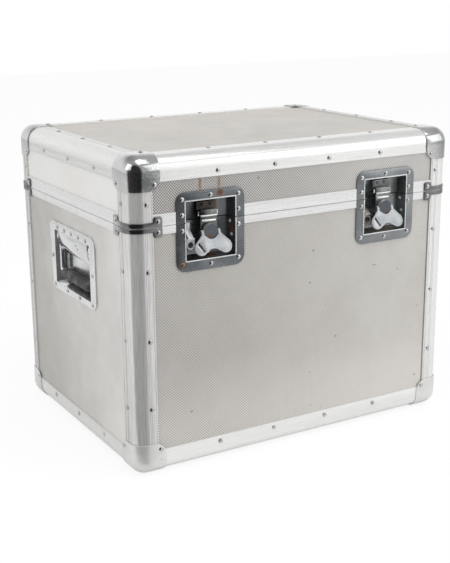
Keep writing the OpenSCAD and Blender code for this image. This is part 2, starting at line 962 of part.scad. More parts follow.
module lid_rear_edge_angle() {
    mirror([0, 1, 0]) lid_front_edge_angle();
}

module lid_left_edge_angle() {
    color("gainsboro") to_lid() edge_along_y(true);
}

module lid_right_edge_angle() {
    mirror([1, 0, 0]) lid_left_edge_angle();
}

module lid_corner_angles() {
    color("gainsboro") four_corners() post(lid_bottom, case_h - end_in);
}

// A rivet head standing along +Z
module rivet(r = rivet_r) {
    cylinder(r1 = r, r2 = 0.55 * r, h = rivet_h);
}

// A rivet on the front wall at (x, z), standing out from the plane at depth y
module front_rivet(x, z, y = -half_d) {
    translate([x, y, z]) rotate([90, 0, 0]) rivet();
}

// A rivet on the left wall at (y, z)
module left_rivet(y, z, x = -half_w) {
    translate([x, y, z]) rotate([0, -90, 0]) rivet();
}

// The rivets of the front left cap that is nearest to z = 0: one on each lobe, or none on the flat one
module cap_rivets(on_flat) {
    x = cap_rivet_in - half_w;
    y = cap_rivet_in - half_d;
    front_rivet(x, cap_rivet_in, -half_d - cap_t);
    left_rivet(y, cap_rivet_in, -half_w - cap_t);
    if (on_flat) {
        translate([x, y, -cap_t]) mirror([0, 0, 1]) rivet();
    }
}

// Rivets of the four edge angles that lie round z = 0
module edge_rivets() {
    for (m = [0, 1]) {
        mirror([0, m, 0]) for (x = front_rivets) {
            front_rivet(x, rivet_in + 1);
            translate([x, rivet_in - half_d, 0]) mirror([0, 0, 1]) rivet();
        }
        mirror([m, 0, 0]) for (y = side_rivets) {
            left_rivet(y, rivet_in + 1);
            translate([rivet_in - half_w, y, 0]) mirror([0, 0, 1]) rivet();
        }
    }
}

module post_rivets(heights) {
    for (z = heights) {
        front_rivet(rivet_in - half_w, z);
        left_rivet(rivet_in - half_d, z);
    }
}

module brace_rivets(z) {
    front_rivet(39.5 - half_w, z, -half_d - cap_t);
    left_rivet(39.5 - half_d, z, -half_w - cap_t);
}

module latch_rivets(places) {
    for (side = [-1, 1]) {
        for (p = places) {
            front_rivet(side * latch_x + p[0], p[1], dish_face_y);
        }
    }
}

module handle_rivets() {
    half = handle_h / 2;
    for (y = [-50, -25, 0, 25, 50]) {
        left_rivet(y, handle_z + half - 8, handle_face_x);
    }
    for (y = [-67, -22, 22, 67]) {
        left_rivet(y, handle_z - half + 6, handle_face_x);
    }
    for (y = [-71, 71]) {
        left_rivet(y, handle_z - 2, handle_face_x);
    }
}

module hinge_rivets(heights) {
    for (side = [-1, 1]) {
        for (dx = [-20, 0, 20]) {
            for (z = heights) {
                translate([side * hinge_x + dx, half_d - angle_t + 2, z]) rotate([-90, 0, 0]) rivet();
            }
        }
    }
}

module base_rivets() {
    color("white") {
        four_corners() {
            to_base() cap_rivets(false);
            post_rivets(base_post_rivets);
            brace_rivets(split_z - 7);
        }
        to_base() edge_rivets();
        latch_rivets([[-42, 330], [42, 330], [-42, 285], [0, 282], [42, 285]]);
        for (mx = [0, 1]) {
            mirror([mx, 0, 0]) handle_rivets();
        }
        hinge_rivets([hinge_low + 8, hinge_low + 34]);
    }
}

module lid_rivets() {
    color("white") {
        four_corners() {
            to_lid() cap_rivets(true);
            post_rivets([lid_post_rivet_z]);
            brace_rivets(split_z + 7);
        }
        to_lid() edge_rivets();
        latch_rivets([[-42, 350.5], [42, 350.5], [-42, 371], [0, 373.5], [42, 371]]);
        hinge_rivets([hinge_high - 8, hinge_high - 26]);
    }
}

module foam_floor_pad() {
    color("dimgray") translate([foam_in - half_w, foam_in - half_d, foam_floor_z])
        cube([case_w - 2 * foam_in, case_d - 2 * foam_in, foam_floor_t]);
}

// Liners: front and rear end below the latch dishes, and the side ones are cut out round the handles
module foam_wall_liners() {
    z0 = foam_floor_z + foam_floor_t;
    z1 = pocket_low - 12;
    color("dimgray") {
        for (m = [0, 1]) {
            mirror([0, m, 0]) translate([foam_in - half_w, foam_in - half_d, z0])
                cube([case_w - 2 * foam_in, liner_t, z1 - z0]);
            mirror([m, 0, 0]) difference() {
                translate([foam_in - half_w, foam_in + liner_t - half_d, z0])
                    cube([liner_t, case_d - 2 * foam_in - 2 * liner_t, z1 - z0]);
                translate([foam_in - half_w - 1, -handle_pocket_half - 4, handle_pocket_low - 4])
                    cube([12, 2 * handle_pocket_half + 8, 120]);
            }
        }
    }
}

// Dividers: one long slab and the cross slabs on each side of it
module foam_dividers() {
    z0 = foam_floor_z + foam_floor_t;
    long_half = half_w - foam_in - liner_t;
    cross_len = half_d - foam_in - liner_t - divider_t / 2;
    color("gray") {
        translate([-long_half, -divider_t / 2, z0]) cube([2 * long_half, divider_t, divider_z - z0]);
        for (x = cross_x) {
            for (m = [0, 1]) {
                mirror([0, m, 0]) translate([x - divider_t / 2, divider_t / 2, z0])
                    cube([divider_t, cross_len, divider_z - z0]);
            }
        }
    }
}

module lid_foam_pad() {
    pad_t = 24;
    color("dimgray") translate([foam_in - half_w, foam_in - half_d, case_h - lip_in - pad_t])
        cube([case_w - 2 * foam_in, case_d - 2 * foam_in, pad_t]);
}

base_front_panel();
base_rear_panel();
base_left_panel();
base_right_panel();
base_floor_panel();
base_corner_angles();
base_front_edge_angle();
base_rear_edge_angle();
base_left_edge_angle();
base_right_edge_angle();
base_closure();
base_corner_caps();
base_corner_braces();
latch_dish_lower_left();
latch_dish_lower_right();
padlock_eye_left();
padlock_eye_right();
handle_dish_left();
handle_dish_right();
handle_cover_left();
handle_cover_right();
handle_springs();
hinge_lower_leaves();
hinge_pins();
base_rivets();
foam_floor_pad();
foam_wall_liners();
foam_dividers();
lid_top_panel();
lid_front_panel();
lid_rear_panel();
lid_left_panel();
lid_right_panel();
lid_front_edge_angle();
lid_rear_edge_angle();
lid_left_edge_angle();
lid_right_edge_angle();
lid_corner_angles();
lid_closure();
lid_corner_caps();
lid_corner_braces();
latch_dish_upper_left();
latch_dish_upper_right();
latch_keeper_left();
latch_keeper_right();
hinge_upper_leaves();
lid_rivets();
lid_foam_pad();
latch_spindle_left();
latch_spindle_right();
latch_wing_left();
latch_wing_right();
latch_wing_pin_left();
latch_wing_pin_right();
latch_hook_left();
latch_hook_right();
handle_bail_left();
handle_bail_right();
handle_grip_left();
handle_grip_right();
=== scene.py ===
"""Dresses a deep flight case with a hinged lid, two butterfly latches and two sprung side handles.

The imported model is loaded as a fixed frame. Every piece made here rides on one of its bodies, in metres.
"""

import json
import logging
import math
from dataclasses import dataclass, field
from enum import Enum
from typing import Iterable, Sequence, Union

import bmesh
import bpy
from mathutils import Matrix, Vector

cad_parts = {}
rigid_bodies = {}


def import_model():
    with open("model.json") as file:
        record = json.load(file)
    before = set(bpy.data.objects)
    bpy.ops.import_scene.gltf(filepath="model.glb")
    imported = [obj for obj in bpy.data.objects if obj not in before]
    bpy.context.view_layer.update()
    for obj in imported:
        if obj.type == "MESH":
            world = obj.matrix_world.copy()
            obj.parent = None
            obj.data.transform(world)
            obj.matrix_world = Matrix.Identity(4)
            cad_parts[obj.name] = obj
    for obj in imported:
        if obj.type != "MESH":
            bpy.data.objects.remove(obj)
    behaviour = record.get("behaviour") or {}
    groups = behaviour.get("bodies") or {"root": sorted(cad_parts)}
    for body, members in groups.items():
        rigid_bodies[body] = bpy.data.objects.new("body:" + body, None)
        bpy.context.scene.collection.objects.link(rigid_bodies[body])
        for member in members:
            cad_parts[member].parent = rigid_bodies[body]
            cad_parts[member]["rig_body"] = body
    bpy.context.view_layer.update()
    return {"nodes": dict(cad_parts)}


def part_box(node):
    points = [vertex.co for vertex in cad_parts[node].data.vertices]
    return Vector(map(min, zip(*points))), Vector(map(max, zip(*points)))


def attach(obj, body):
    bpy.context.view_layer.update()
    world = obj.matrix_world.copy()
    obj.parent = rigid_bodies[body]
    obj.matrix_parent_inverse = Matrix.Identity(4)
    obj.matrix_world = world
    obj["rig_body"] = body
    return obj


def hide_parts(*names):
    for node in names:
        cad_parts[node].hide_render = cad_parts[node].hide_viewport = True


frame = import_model()

log = logging.getLogger("case")

Point = tuple[float, float, float]
Colour = tuple[float, float, float]
Socket = bpy.types.NodeSocket
Piece = bpy.types.Object
Material = bpy.types.Material
Value = Union[Socket, float, Colour]
Placed = tuple[Point, Point]
MM = 0.001

# sizes in millimetres that the part's source also uses
HALF_W = 260.0
HALF_D = 193.0
CASE_H = 430.0
CAP_T = 1.5
LATCH_X = 143.5
DISH_FACE_Y = -193.2
SPINDLE_Z = 325.0
PIN_DEPTH = 2.2
WING_REST = math.radians(18.0)
HANDLE_FACE_X = 260.2
HANDLE_Z = 254.5
BAIL_PIVOT_Z = HANDLE_Z + 29.5
BAIL_DEPTH = 8.0


class Side(Enum):
    """A side of the case, and the sign of its X."""

    LEFT = -1
    RIGHT = 1

    @property
    def word(self) -> str:
        """The side's word in the names of pieces."""
        return self.name.lower()


class Face(Enum):
    """Which way a panel faces: the two coordinates that lie in it, and the stretch of its rub marks."""

    FRONT = ("X", "Z", (0.35, 1, 1))
    SIDE = ("Y", "Z", (1, 0.35, 1))
    TOP = ("X", "Y", (0.12, 1, 1))


class Run(Enum):
    """The direction in which a metal's drawn or brushed lines run."""

    X = (0.03, 1.0, 1.0)
    Y = (1.0, 0.03, 1.0)
    Z = (1.0, 1.0, 0.03)
    LEVEL = (0.03, 0.03, 1.0)
    NONE = (1.0, 1.0, 1.0)


@dataclass(frozen=True)
class Stain:
    """A patch of rust, dirt, wear, painted shade or painted highlight: its middle, half sizes and strength,
    in millimetres.
    """

    at: Point
    half: Point
    strength: float = 1.0


class NodeTree:
    """Writes nodes into a tree."""

    def __init__(self, tree: bpy.types.NodeTree) -> None:
        """Takes up a tree to write into."""
        self.tree = tree

    def node(self, kind: str, **inputs: Value) -> bpy.types.Node:
        """Adds a node.

        Args:
            kind: the node's type.
            inputs: its inputs by name, with _ for a space, each an output socket or a value.

        Returns:
            The node.
        """
        made = self.tree.nodes.new(kind)
        for label, value in inputs.items():
            self.feed(made.inputs[label.replace("_", " ")], value)
        return made

    def feed(self, socket: Socket, value: Value) -> None:
        """Links a socket to another, or writes a constant on it.

        Args:
            socket: the input.
            value: an output socket, a number, or a colour.
        """
        if isinstance(value, bpy.types.NodeSocket):
            self.tree.links.new(value, socket)
        elif isinstance(value, tuple) and len(value) == 3 and socket.type == "RGBA":
            socket.default_value = (*value, 1.0)
        else:
            socket.default_value = value

    def math(self, operation: str, *values: Value) -> Socket:
        """Adds a Math node.

        Args:
            operation: the node's operation.
            values: its inputs, each a socket or a number.

        Returns:
            The result's socket.
        """
        made = self.node("ShaderNodeMath")
        made.operation = operation
        for socket, value in zip(made.inputs, values):
            self.feed(socket, value)
        return made.outputs[0]

    def times(self, first: Value, second: Value) -> Socket:
        """Multiplies two values."""
        return self.math("MULTIPLY", first, second)

    def span(self, value: Value, low: float, high: float, to_low: float = 0.0,
             to_high: float = 1.0) -> Socket:
        """Maps a value smoothly from one range to another, held at the ends.

        Args:
            value: the socket to map.
            low: where the range starts.
            high: where it ends.
            to_low: what the start becomes.
            to_high: what the end becomes.

        Returns:
            The mapped socket.
        """
        made = self.node("ShaderNodeMapRange", Value=value, From_Min=low, From_Max=high, To_Min=to_low,
                         To_Max=to_high)
        made.interpolation_type = "SMOOTHSTEP"
        return made.outputs["Result"]

    def choose(self, share: Value, first: Value, second: Value) -> Socket:
        """Mixes two numbers.

        Args:
            share: how much of the second shows.
            first: a number or its socket.
            second: a number or its socket.

        Returns:
            The result's socket.
        """
        made = self.node("ShaderNodeMix")
        made.data_type = "FLOAT"
        for index, value in ((0, share), (2, first), (3, second)):
            self.feed(made.inputs[index], value)
        return made.outputs[0]

    def vector(self, operation: str, first: Value, second: Value = (0.0, 0.0, 0.0)) -> bpy.types.Node:
        """Adds a Vector Math node.

        Args:
            operation: the node's operation.
            first: a vector or its socket.
            second: a vector or its socket.

        Returns:
            The node.
        """
        made = self.node("ShaderNodeVectorMath")
        made.operation = operation
        self.feed(made.inputs[0], first)
        self.feed(made.inputs[1], second)
        return made

    def cosine(self, direction: Socket, way: tuple[float, float]) -> Socket:
        """Gives how closely a direction points along a level way."""
        level = tuple(Vector((*way, 0.0)).normalized())
        return self.vector("DOT_PRODUCT", direction, level).outputs["Value"]


class Shader(NodeTree):
    """Writes one material's node tree."""

    def __init__(self, name: str) -> None:
        """Starts a material with a Principled shader.

        Args:
            name: the material's name.
        """
        self.material = bpy.data.materials.new(name)
        self.material.use_nodes = True
        super().__init__(self.material.node_tree)
        self.surface = self.tree.nodes["Principled BSDF"]
        self.place = self.node("ShaderNodeTexCoord").outputs["Object"]
        self.axes = self.node("ShaderNodeSeparateXYZ", Vector=self.place).outputs

    def mapped(self, scale: Point = (1, 1, 1), move: Point = (0, 0, 0)) -> Socket:
        """Stretches the object's coordinates along each axis and moves them, in metres."""
        return self.node("ShaderNodeMapping", Vector=self.place, Scale=scale, Location=move).outputs["Vector"]

    def noise(self, scale: float, detail: float = 3.0, rough: float = 0.55, stretch: Point = (1, 1, 1),
              seed: float = 0.0) -> Socket:
        """Adds a noise pattern.

        Args:
            scale: how many waves a metre holds.
            detail: how many octaves it has.
            rough: how strong the fine octaves are.
            stretch: the stretch of the coordinates along each axis.
            seed: a shift that gives another pattern.

        Returns:
            The noise value's socket.
        """
        made = self.node("ShaderNodeTexNoise", Vector=self.mapped(stretch, (seed, seed * 0.7, -seed)),
                         Scale=scale, Detail=detail, Roughness=rough)
        return made.outputs["Fac"]

    def specks(self, scale: float, size: float, seed: float = 0.0) -> Socket:
        """Adds small spots, scattered over about a quarter of the cells.

        Args:
            scale: how many cells a metre holds.
            size: the share of a cell that a spot covers.
            seed: a shift that gives another pattern.

        Returns:
            A socket that is 1 in a spot and 0 elsewhere.
        """
        moved = self.mapped(move=(seed, -seed, seed * 0.5))
        cells = self.node("ShaderNodeTexVoronoi", Vector=moved, Scale=scale)
        near = self.span(cells.outputs["Distance"], size * 0.5, size, 1.0, 0.0)
        lot = self.node("ShaderNodeSeparateColor", Color=cells.outputs["Color"]).outputs[0]
        return self.times(near, self.span(lot, 0.72, 0.8))

    def mix(self, share: Value, first: Value, second: Value) -> Socket:
        """Mixes two colours.

        Args:
            share: how much of the second shows.
            first: a colour or its socket.
            second: a colour or its socket.

        Returns:
            The mixed colour's socket.
        """
        made = self.node("ShaderNodeMix")
        made.data_type = "RGBA"
        for index, value in ((0, share), (6, first), (7, second)):
            self.feed(made.inputs[index], value)
        return made.outputs[2]

    def stains(self, patches: Sequence[Stain], seed: float = 0.0, soft: float = 0.4) -> Socket:
        """Adds rough-edged patches.

        Args:
            patches: the patches.
            seed: a shift that gives their edges another pattern.
            soft: the half width over which a patch fades, as a share of its size.

        Returns:
            A socket that is 1 inside the patches and 0 outside.
        """
        total: Value = 0.0
        edge = self.noise(330, 4, 0.65, seed=seed)
        for patch in patches:
            parts = []
            for axis in range(3):
                away = self.math("ABSOLUTE", self.math("SUBTRACT", self.axes[axis], patch.at[axis] * MM))
                parts.append(self.math("POWER", self.math("DIVIDE", away, patch.half[axis] * MM), 2.0))
            far = self.math("SQRT", self.math("ADD", parts[0], self.math("ADD", parts[1], parts[2])))
            near = self.math("SUBTRACT", far, self.times(edge, 1.1))
            inside = self.span(near, 0.15 - soft, 0.15 + soft, patch.strength, 0.0)
            total = self.math("MAXIMUM", total, inside)
        return total

    def bump(self, height: Value, depth: float, strength: float = 1.0) -> None:
        """Gives the surface a bump from a height of 0 to 1, its depth in metres."""
        made = self.node("ShaderNodeBump", Distance=depth, Strength=strength, Height=height)
        self.feed(self.surface.inputs["Normal"], made.outputs["Normal"])

    def finish(self, colour: Value, rough: Value, metallic: float, specular: float = 0.5) -> Material:
        """Sets the shader's main sockets.

        Args:
            colour: the base colour or its socket.
            rough: the roughness or its socket.
            metallic: the metallic share.
            specular: the specular level.

        Returns:
            The material.
        """
        self.feed(self.surface.inputs["Base Color"], colour)
        self.feed(self.surface.inputs["Roughness"], rough)
        self.surface.inputs["Metallic"].default_value = metallic
        self.surface.inputs["Specular IOR Level"].default_value = specular
        return self.material


@dataclass(frozen=True)
class EmbossedFacing:
    """Aluminium sheet rolled with a fine chequer, as on the panels.

    Across the panel it goes from grey and dull to warm and pale between two given ends: painted light, a
    brightness gradient, along which the chequer's hollows also fade. Going down it grows paler between the
    ends of a second span, also painted light. The contrast is how dark the hollows are. Sizes are in
    millimetres.
    """

    name: str
    face: Face
    grey: Colour
    warm: Colour
    contrast: float = 0.20
    pitch: float = 3.9
    stains: tuple[Stain, ...] = ()
    marks: tuple[Stain, ...] = ()
    scuffs: float = 0.3
    polish: tuple[float, float] | None = None
    pale_foot: tuple[float, float] | None = None
    haze_colour: Colour = (0.95, 0.95, 0.94)
    foot_colour: Colour = (0.95, 0.92, 0.88)
    rub_colour: Colour = (0.52, 0.49, 0.45)
    speck_colour: Colour = (0.22, 0.17, 0.12)
    mark_colour: Colour = (0.10, 0.07, 0.05)
    rust_colour: Colour = (0.27, 0.155, 0.08)
    relief: float = 0.20

    def chequer(self, s: Shader, across: Socket, up: Socket) -> Socket:
        """Makes the chequer's height.

        Args:
            s: the material's writer.
            across: the coordinate across the panel.
            up: the coordinate up the panel.

        Returns:
            A socket that is 1 on the pins and 0 between them.
        """
        wave = 2 * math.pi / (self.pitch * MM)
        rows = [s.math("SINE", s.times(way, wave)) for way in (across, up)]
        return s.span(s.times(*rows), -0.45, 0.45)

    def tone(self, s: Shader, across: Socket, up: Socket) -> tuple[Socket, Value]:
        """Makes the sheet's tone with its painted light gradients, without the chequer.

        Args:
            s: the material's writer.
            across: the coordinate across the panel.
            up: the coordinate up the panel.

        Returns:
            The colour, and how dark the chequer's hollows are.
        """
        worn = s.span(s.noise(5.5, 4, 0.6, seed=3.1), 0.42, 0.66)
        depth: Value = self.contrast
        if self.polish:
            # Painted light: a brightness gradient across the panel, mixed into the random tone; the chequer's
            # hollows fade along it.
            lit_share = s.span(across, self.polish[0] * MM, self.polish[1] * MM)
            worn = s.math("ADD", s.times(worn, 0.4), s.times(lit_share, 0.6))
            kept = s.math("SUBTRACT", 1.6, s.times(lit_share, 0.85))
            depth = s.times(kept, self.contrast / 1.6)
        shade = s.mix(worn, self.grey, self.warm)
        haze = s.span(s.noise(16, 5, 0.6, seed=1.7), 0.3, 0.7)
        shade = s.mix(s.times(haze, 0.10), shade, self.haze_colour)
        if self.pale_foot:
            # Painted light: the panel paler towards its bottom.
            foot = s.span(up, self.pale_foot[0] * MM, self.pale_foot[1] * MM)
            shade = s.mix(s.times(foot, 0.45), shade, self.foot_colour)
        return shade, depth

    def build(self) -> Material:
        """Builds the material.

        Returns:
            The material.
        """
        s = Shader(self.name)
        first, second, stretch = self.face.value
        across, up = s.axes[first], s.axes[second]
        height = self.chequer(s, across, up)
        shade, depth = self.tone(s, across, up)
        colour = s.mix(height, s.mix(depth, shade, (0.0, 0.0, 0.0)), shade)
        rub = s.span(s.noise(120, 6, 0.7, stretch, 5.0), 0.6, 0.78)
        colour = s.mix(s.times(rub, self.scuffs), colour, self.rub_colour)
        colour = s.mix(s.times(s.specks(46, 0.10, 2.0), 0.7), colour, self.speck_colour)
        if self.marks:
            colour = s.mix(s.stains(self.marks, 3.0), colour, self.mark_colour)
        if self.stains:
            broken = s.span(s.noise(900, 2, seed=4.0), 0.25, 0.6, 0.55, 1.0)
            colour = s.mix(s.times(s.stains(self.stains), broken), colour, self.rust_colour)
        s.bump(height, self.relief * MM, 0.6)
        return s.finish(colour, s.span(s.noise(30, 4, 0.6, seed=6.0), 0.2, 0.8, 0.42, 0.58), 0.25, 0.35)


@dataclass(frozen=True)
class WornMetal:
    """A metal with drawn lines, uneven tone, scratches, scuffs and rust, and patches of dirt, dark joints,
    painted shade and painted highlights.

    In front of a given Y it takes a second colour: bare rubbed metal on most parts, and on the spindle a
    painted shade of the drum's face, whose side is painted pale. Sizes are in millimetres.
    """

    name: str
    colour: Colour
    worn: Colour
    rough: tuple[float, float]
    metallic: float = 0.9
    run: Run = Run.NONE
    lines: float = 0.0
    scuffs: float = 0.2
    scuff_colour: Colour = (0.45, 0.43, 0.41)
    stains: tuple[Stain, ...] = ()
    rust: tuple[Colour, Colour] = ((0.10, 0.05, 0.03), (0.30, 0.14, 0.06))
    grime: tuple[Stain, ...] = ()
    grime_colour: Colour = (0.05, 0.048, 0.045)
    freckles: float = 0.0
    dents: float = 0.10
    bare_before: float | None = None
    bare_colour: Colour = (0.80, 0.80, 0.79)
    line_colour: Colour = (0.34, 0.345, 0.35)
    freckle_colour: Colour = (0.20, 0.13, 0.08)

    def worked(self, s: Shader, line: Socket) -> Socket:
        """Makes the metal's colour with its lines, scratches and spots.

        Args:
            s: the material's writer.
            line: the drawn lines' noise.

        Returns:
            The colour's socket.
        """
        flow = self.run.value
        tone = s.noise(26 if self.run is Run.NONE else 60, 4, 0.55, flow, 1.0)
        colour = s.mix(s.span(tone, 0.35, 0.68), self.colour, self.worn)
        if self.lines:
            colour = s.mix(s.times(s.span(line, 0.38, 0.66), self.lines), colour, self.line_colour)
        scratch = s.span(s.noise(190, 7, 0.75, flow, 7.0), 0.62, 0.76)
        colour = s.mix(s.times(scratch, self.scuffs), colour, self.scuff_colour)
        if self.freckles:
            spots = s.times(s.specks(170, 0.22, 1.0), self.freckles)
            colour = s.mix(spots, colour, self.freckle_colour)
        return colour

    def build(self) -> Material:
        """Builds the material.

        Returns:
            The material.
        """
        s = Shader(self.name)
        flow = self.run.value
        line = s.noise(950, 2, 0.5, flow, 2.0)
        colour = self.worked(s, line)
        rough = s.span(s.noise(60, 4, 0.6, flow, 8.0), 0.3, 0.7, *self.rough)
        # In front of a given Y: bare rubbed metal on most parts, painted shade on the spindle drum's face.
        if self.bare_before is not None:
            edge = (self.bare_before - 0.05) * MM, (self.bare_before + 0.05) * MM
            colour = s.mix(s.span(s.axes["Y"], *edge, 1.0, 0.0), colour, self.bare_colour)
        # Patches in one colour: dirt and dark joints on some metals, painted shade and painted highlights on
        # others.
        if self.grime:
            colour = s.mix(s.stains(self.grime, 5.0, 0.7), colour, self.grime_colour)
        if self.stains:
            rusted = s.stains(self.stains)
            colour = s.mix(rusted, colour, s.mix(s.span(s.noise(700, 3, seed=9.0), 0.3, 0.7), *self.rust))
            rough = s.math("ADD", rough, s.times(rusted, 0.4))
        swell = s.noise(45 if self.run is Run.NONE else 20, 2, 0.5, flow, 11.0)
        s.bump(s.math("ADD", s.times(line, 0.2), swell), self.dents * MM, 0.6)
        return s.finish(colour, rough, self.metallic)


@dataclass(frozen=True)
class MouldedRubber:
    """Rubber of the handles' grips, dulled by hands and dust."""

    name: str
    colour: Colour
    dust: Colour

    def build(self) -> Material:
        """Builds the material.

        Returns:
            The material.
        """
        s = Shader(self.name)
        colour = s.mix(s.span(s.noise(70, 5, 0.6), 0.45, 0.7), self.colour, self.dust)
        s.bump(s.noise(2400, 2, 0.5), 0.05 * MM, 0.7)
        return s.finish(colour, s.span(s.noise(90, 3), 0.3, 0.7, 0.55, 0.75), 0.0, 0.4)


@dataclass(frozen=True)
class OpenFoam:
    """Open-cell foam with its pores."""

    name: str
    colour: Colour
    pale: Colour
    pores: float = 900.0
    sheen: float = 0.25

    def build(self) -> Material:
        """Builds the material.

        Returns:
            The material.
        """
        s = Shader(self.name)
        cells = s.node("ShaderNodeTexVoronoi", Vector=s.place, Scale=self.pores)
        hole = s.span(cells.outputs["Distance"], 0.1, 0.5)
        colour = s.mix(hole, self.colour, self.pale)
        colour = s.mix(s.times(s.span(s.noise(22, 4), 0.45, 0.7), 0.35), colour, self.pale)
        s.bump(hole, 0.25 * MM, 0.8)
        s.surface.inputs["Sheen Weight"].default_value = self.sheen
        return s.finish(colour, s.span(s.noise(200, 2), 0.3, 0.7, 0.88, 0.98), 0.0, 0.2)


Finish = Union[EmbossedFacing, WornMetal, MouldedRubber, OpenFoam]


@dataclass
class Finishes:
    """Every finish of the case, built once."""

    made: dict[str, Material] = field(default_factory=dict)

    def get(self, finish: Finish) -> Material:
        """Builds a finish the first time that it is asked for.

        Args:
            finish: the finish.

        Returns:
            Its material.
        """
        if finish.name not in self.made:
            self.made[finish.name] = finish.build()
        return self.made[finish.name]


FINISHES = Finishes()


def placed(name: str, data: bpy.types.ID) -> Piece:
    """Makes an object and puts it into the scene.

    Args:
        name: the object's name.
        data: its mesh, curve, light or camera.

    Returns:
        The object.
    """
    made = bpy.data.objects.new(name, data)
    bpy.context.scene.collection.objects.link(made)
    return made


def dress(piece: Piece, finish: Finish) -> Piece:
    """Gives every material slot of a piece one finish.

    Args:
        piece: the piece.
        finish: its finish.

    Returns:
        The piece.
    """
    material = FINISHES.get(finish)
    if not piece.material_slots:
        piece.data.materials.append(material)
    for held in piece.material_slots:
        held.material = material
    return piece


def node(name: str) -> Piece:
    """Gives the frame's object of a CAD node."""
    return frame["nodes"][name]


def body_of(name: str) -> str:
    """Gives the body that a CAD node rides on."""
    return node(name)["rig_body"]


def stands_for(piece: Piece, *names: str) -> Piece:
    """Puts a piece in the place of CAD nodes of one body.

    Args:
        piece: the piece.
        names: the nodes that it replaces.

    Returns:
        The piece.
    """
    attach(piece, body_of(names[0]))
    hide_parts(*names)
    return piece


def added(piece: Piece, body: str) -> Piece:
    """Puts a piece that stands for no CAD node on a body.

    Args:
        piece: the piece.
        body: the body that it rides on.

    Returns:
        The piece.
    """
    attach(piece, body)
    return piece


def flattened(source: Piece, name: str) -> Piece:
    """Turns an object and its modifiers into a new plain mesh object, and removes the first.

    Args:
        source: the object to evaluate.
        name: the new object's name.

    Returns:
        The new object.
    """
    mesh = bpy.data.meshes.new_from_object(source.evaluated_get(bpy.context.evaluated_depsgraph_get()))
    mesh.name = name
    bpy.data.objects.remove(source)
    return placed(name, mesh)


def smooth(piece: Piece, degrees: float = 35.0) -> Piece:
    """Shades a piece smoothly except across its sharp edges.

    Args:
        piece: the mesh object.
        degrees: the angle from which an edge counts as sharp.

    Returns:
        The piece.
    """
    for polygon in piece.data.polygons:
        polygon.use_smooth = True
    piece.data.set_sharp_from_angle(angle=math.radians(degrees))
    return piece


def rounded(blank: Piece, name: str, width: float, segments: int = 2, angle: float = 30.0) -> Piece:
    """Rounds the edges of a blank, which becomes a new plain mesh object.

    Args:
        blank: the object with sharp edges.
        name: the new object's name.
        width: the rounding in millimetres.
        segments: the faces across a rounding.
        angle: the least angle between faces whose edge is rounded, in degrees.

    Returns:
        The new object.
    """
    bevel = blank.modifiers.new("round", "BEVEL")
    bevel.width = width * MM
    bevel.segments = segments
    bevel.limit_method = "ANGLE"
    bevel.angle_limit = math.radians(angle)
    bevel.use_clamp_overlap = True
    return smooth(flattened(blank, name))


def softened(name: str, width: float, segments: int = 2) -> Piece:
    """Makes a copy of a CAD node with its edges rounded, as pressed and cast metal has, to stand for it.

    Args:
        name: the CAD node.
        width: the rounding in millimetres.
        segments: the faces across a rounding.

    Returns:
        The piece, which already replaces the node and rides on its body.
    """
    form = bmesh.new()
    form.from_mesh(node(name).data)
    bmesh.ops.remove_doubles(form, verts=form.verts, dist=0.02 * MM)
    bmesh.ops.dissolve_limit(form, angle_limit=math.radians(1.5), verts=form.verts, edges=form.edges)
    mesh = bpy.data.meshes.new(name + "_blank")
    form.to_mesh(mesh)
    form.free()
    return stands_for(rounded(placed(mesh.name, mesh), name + "_finished", width, segments, 32.0), name)


class Repeater(NodeTree):
    """Writes a Geometry Nodes tree and turns what it gives into a plain mesh."""

    def __init__(self, name: str, sizes: dict[str, float]) -> None:
        """Starts a tree.

        Args:
            name: the tree's name.
            sizes: its named inputs and their values, in metres or as plain numbers.
        """
        super().__init__(bpy.data.node_groups.new(name, "GeometryNodeTree"))
        panel = self.tree.interface
        for way in ("INPUT", "OUTPUT"):
            panel.new_socket("Geometry", in_out=way, socket_type="NodeSocketGeometry")
        self.values: dict[str, float] = {}
        for label, value in sizes.items():
            made = panel.new_socket(label, in_out="INPUT", socket_type="NodeSocketFloat")
            self.values[made.identifier] = value
        made = panel.new_socket("Finish", in_out="INPUT", socket_type="NodeSocketMaterial")
        self.finish_id = made.identifier
        self.sizes = self.node("NodeGroupInput").outputs
        self.end = self.node("NodeGroupOutput")

    def close(self, shape: Socket, **inputs: Value) -> None:
        """Ends the tree: puts a shape on every point, makes it real, smooth, and sets its material.

        Args:
            shape: the shape.
            inputs: how the shape is turned and scaled, by the inputs' names.
        """
        points, material = self.sizes["Geometry"], self.sizes["Finish"]
        put = self.node("GeometryNodeInstanceOnPoints", Points=points, Instance=shape, **inputs)
        real = self.node("GeometryNodeRealizeInstances", Geometry=put.outputs[0])
        smoothed = self.node("GeometryNodeSetShadeSmooth", Geometry=real.outputs[0])
        dressed = self.node("GeometryNodeSetMaterial", Geometry=smoothed.outputs[0], Material=material)
        self.feed(self.end.inputs[0], dressed.outputs[0])

    def make(self, name: str, places: Sequence[Placed], finish: Finish) -> Piece:
        """Runs the tree on points and gives a plain mesh object.

        Args:
            name: the object's name.
            places: the points, in millimetres, each with the direction in which the piece on it stands.
            finish: its finish.

        Returns:
            The object.
        """
        mesh = bpy.data.meshes.new(name + "_points")
        mesh.from_pydata([tuple(c * MM for c in point) for point, _ in places], [], [])
        held = mesh.attributes.new("aim", "FLOAT_VECTOR", "POINT")
        held.data.foreach_set("vector", [c for _, aim in places for c in aim])
        carrier = placed(mesh.name, mesh)
        modifier = carrier.modifiers.new("repeat", "NODES")
        modifier.node_group = self.tree
        for identifier, value in self.values.items():
            modifier[identifier] = value
        modifier[self.finish_id] = FINISHES.get(finish)
        carrier.update_tag()
        piece = flattened(carrier, name)
        return piece if piece.data.materials else dress(piece, finish)


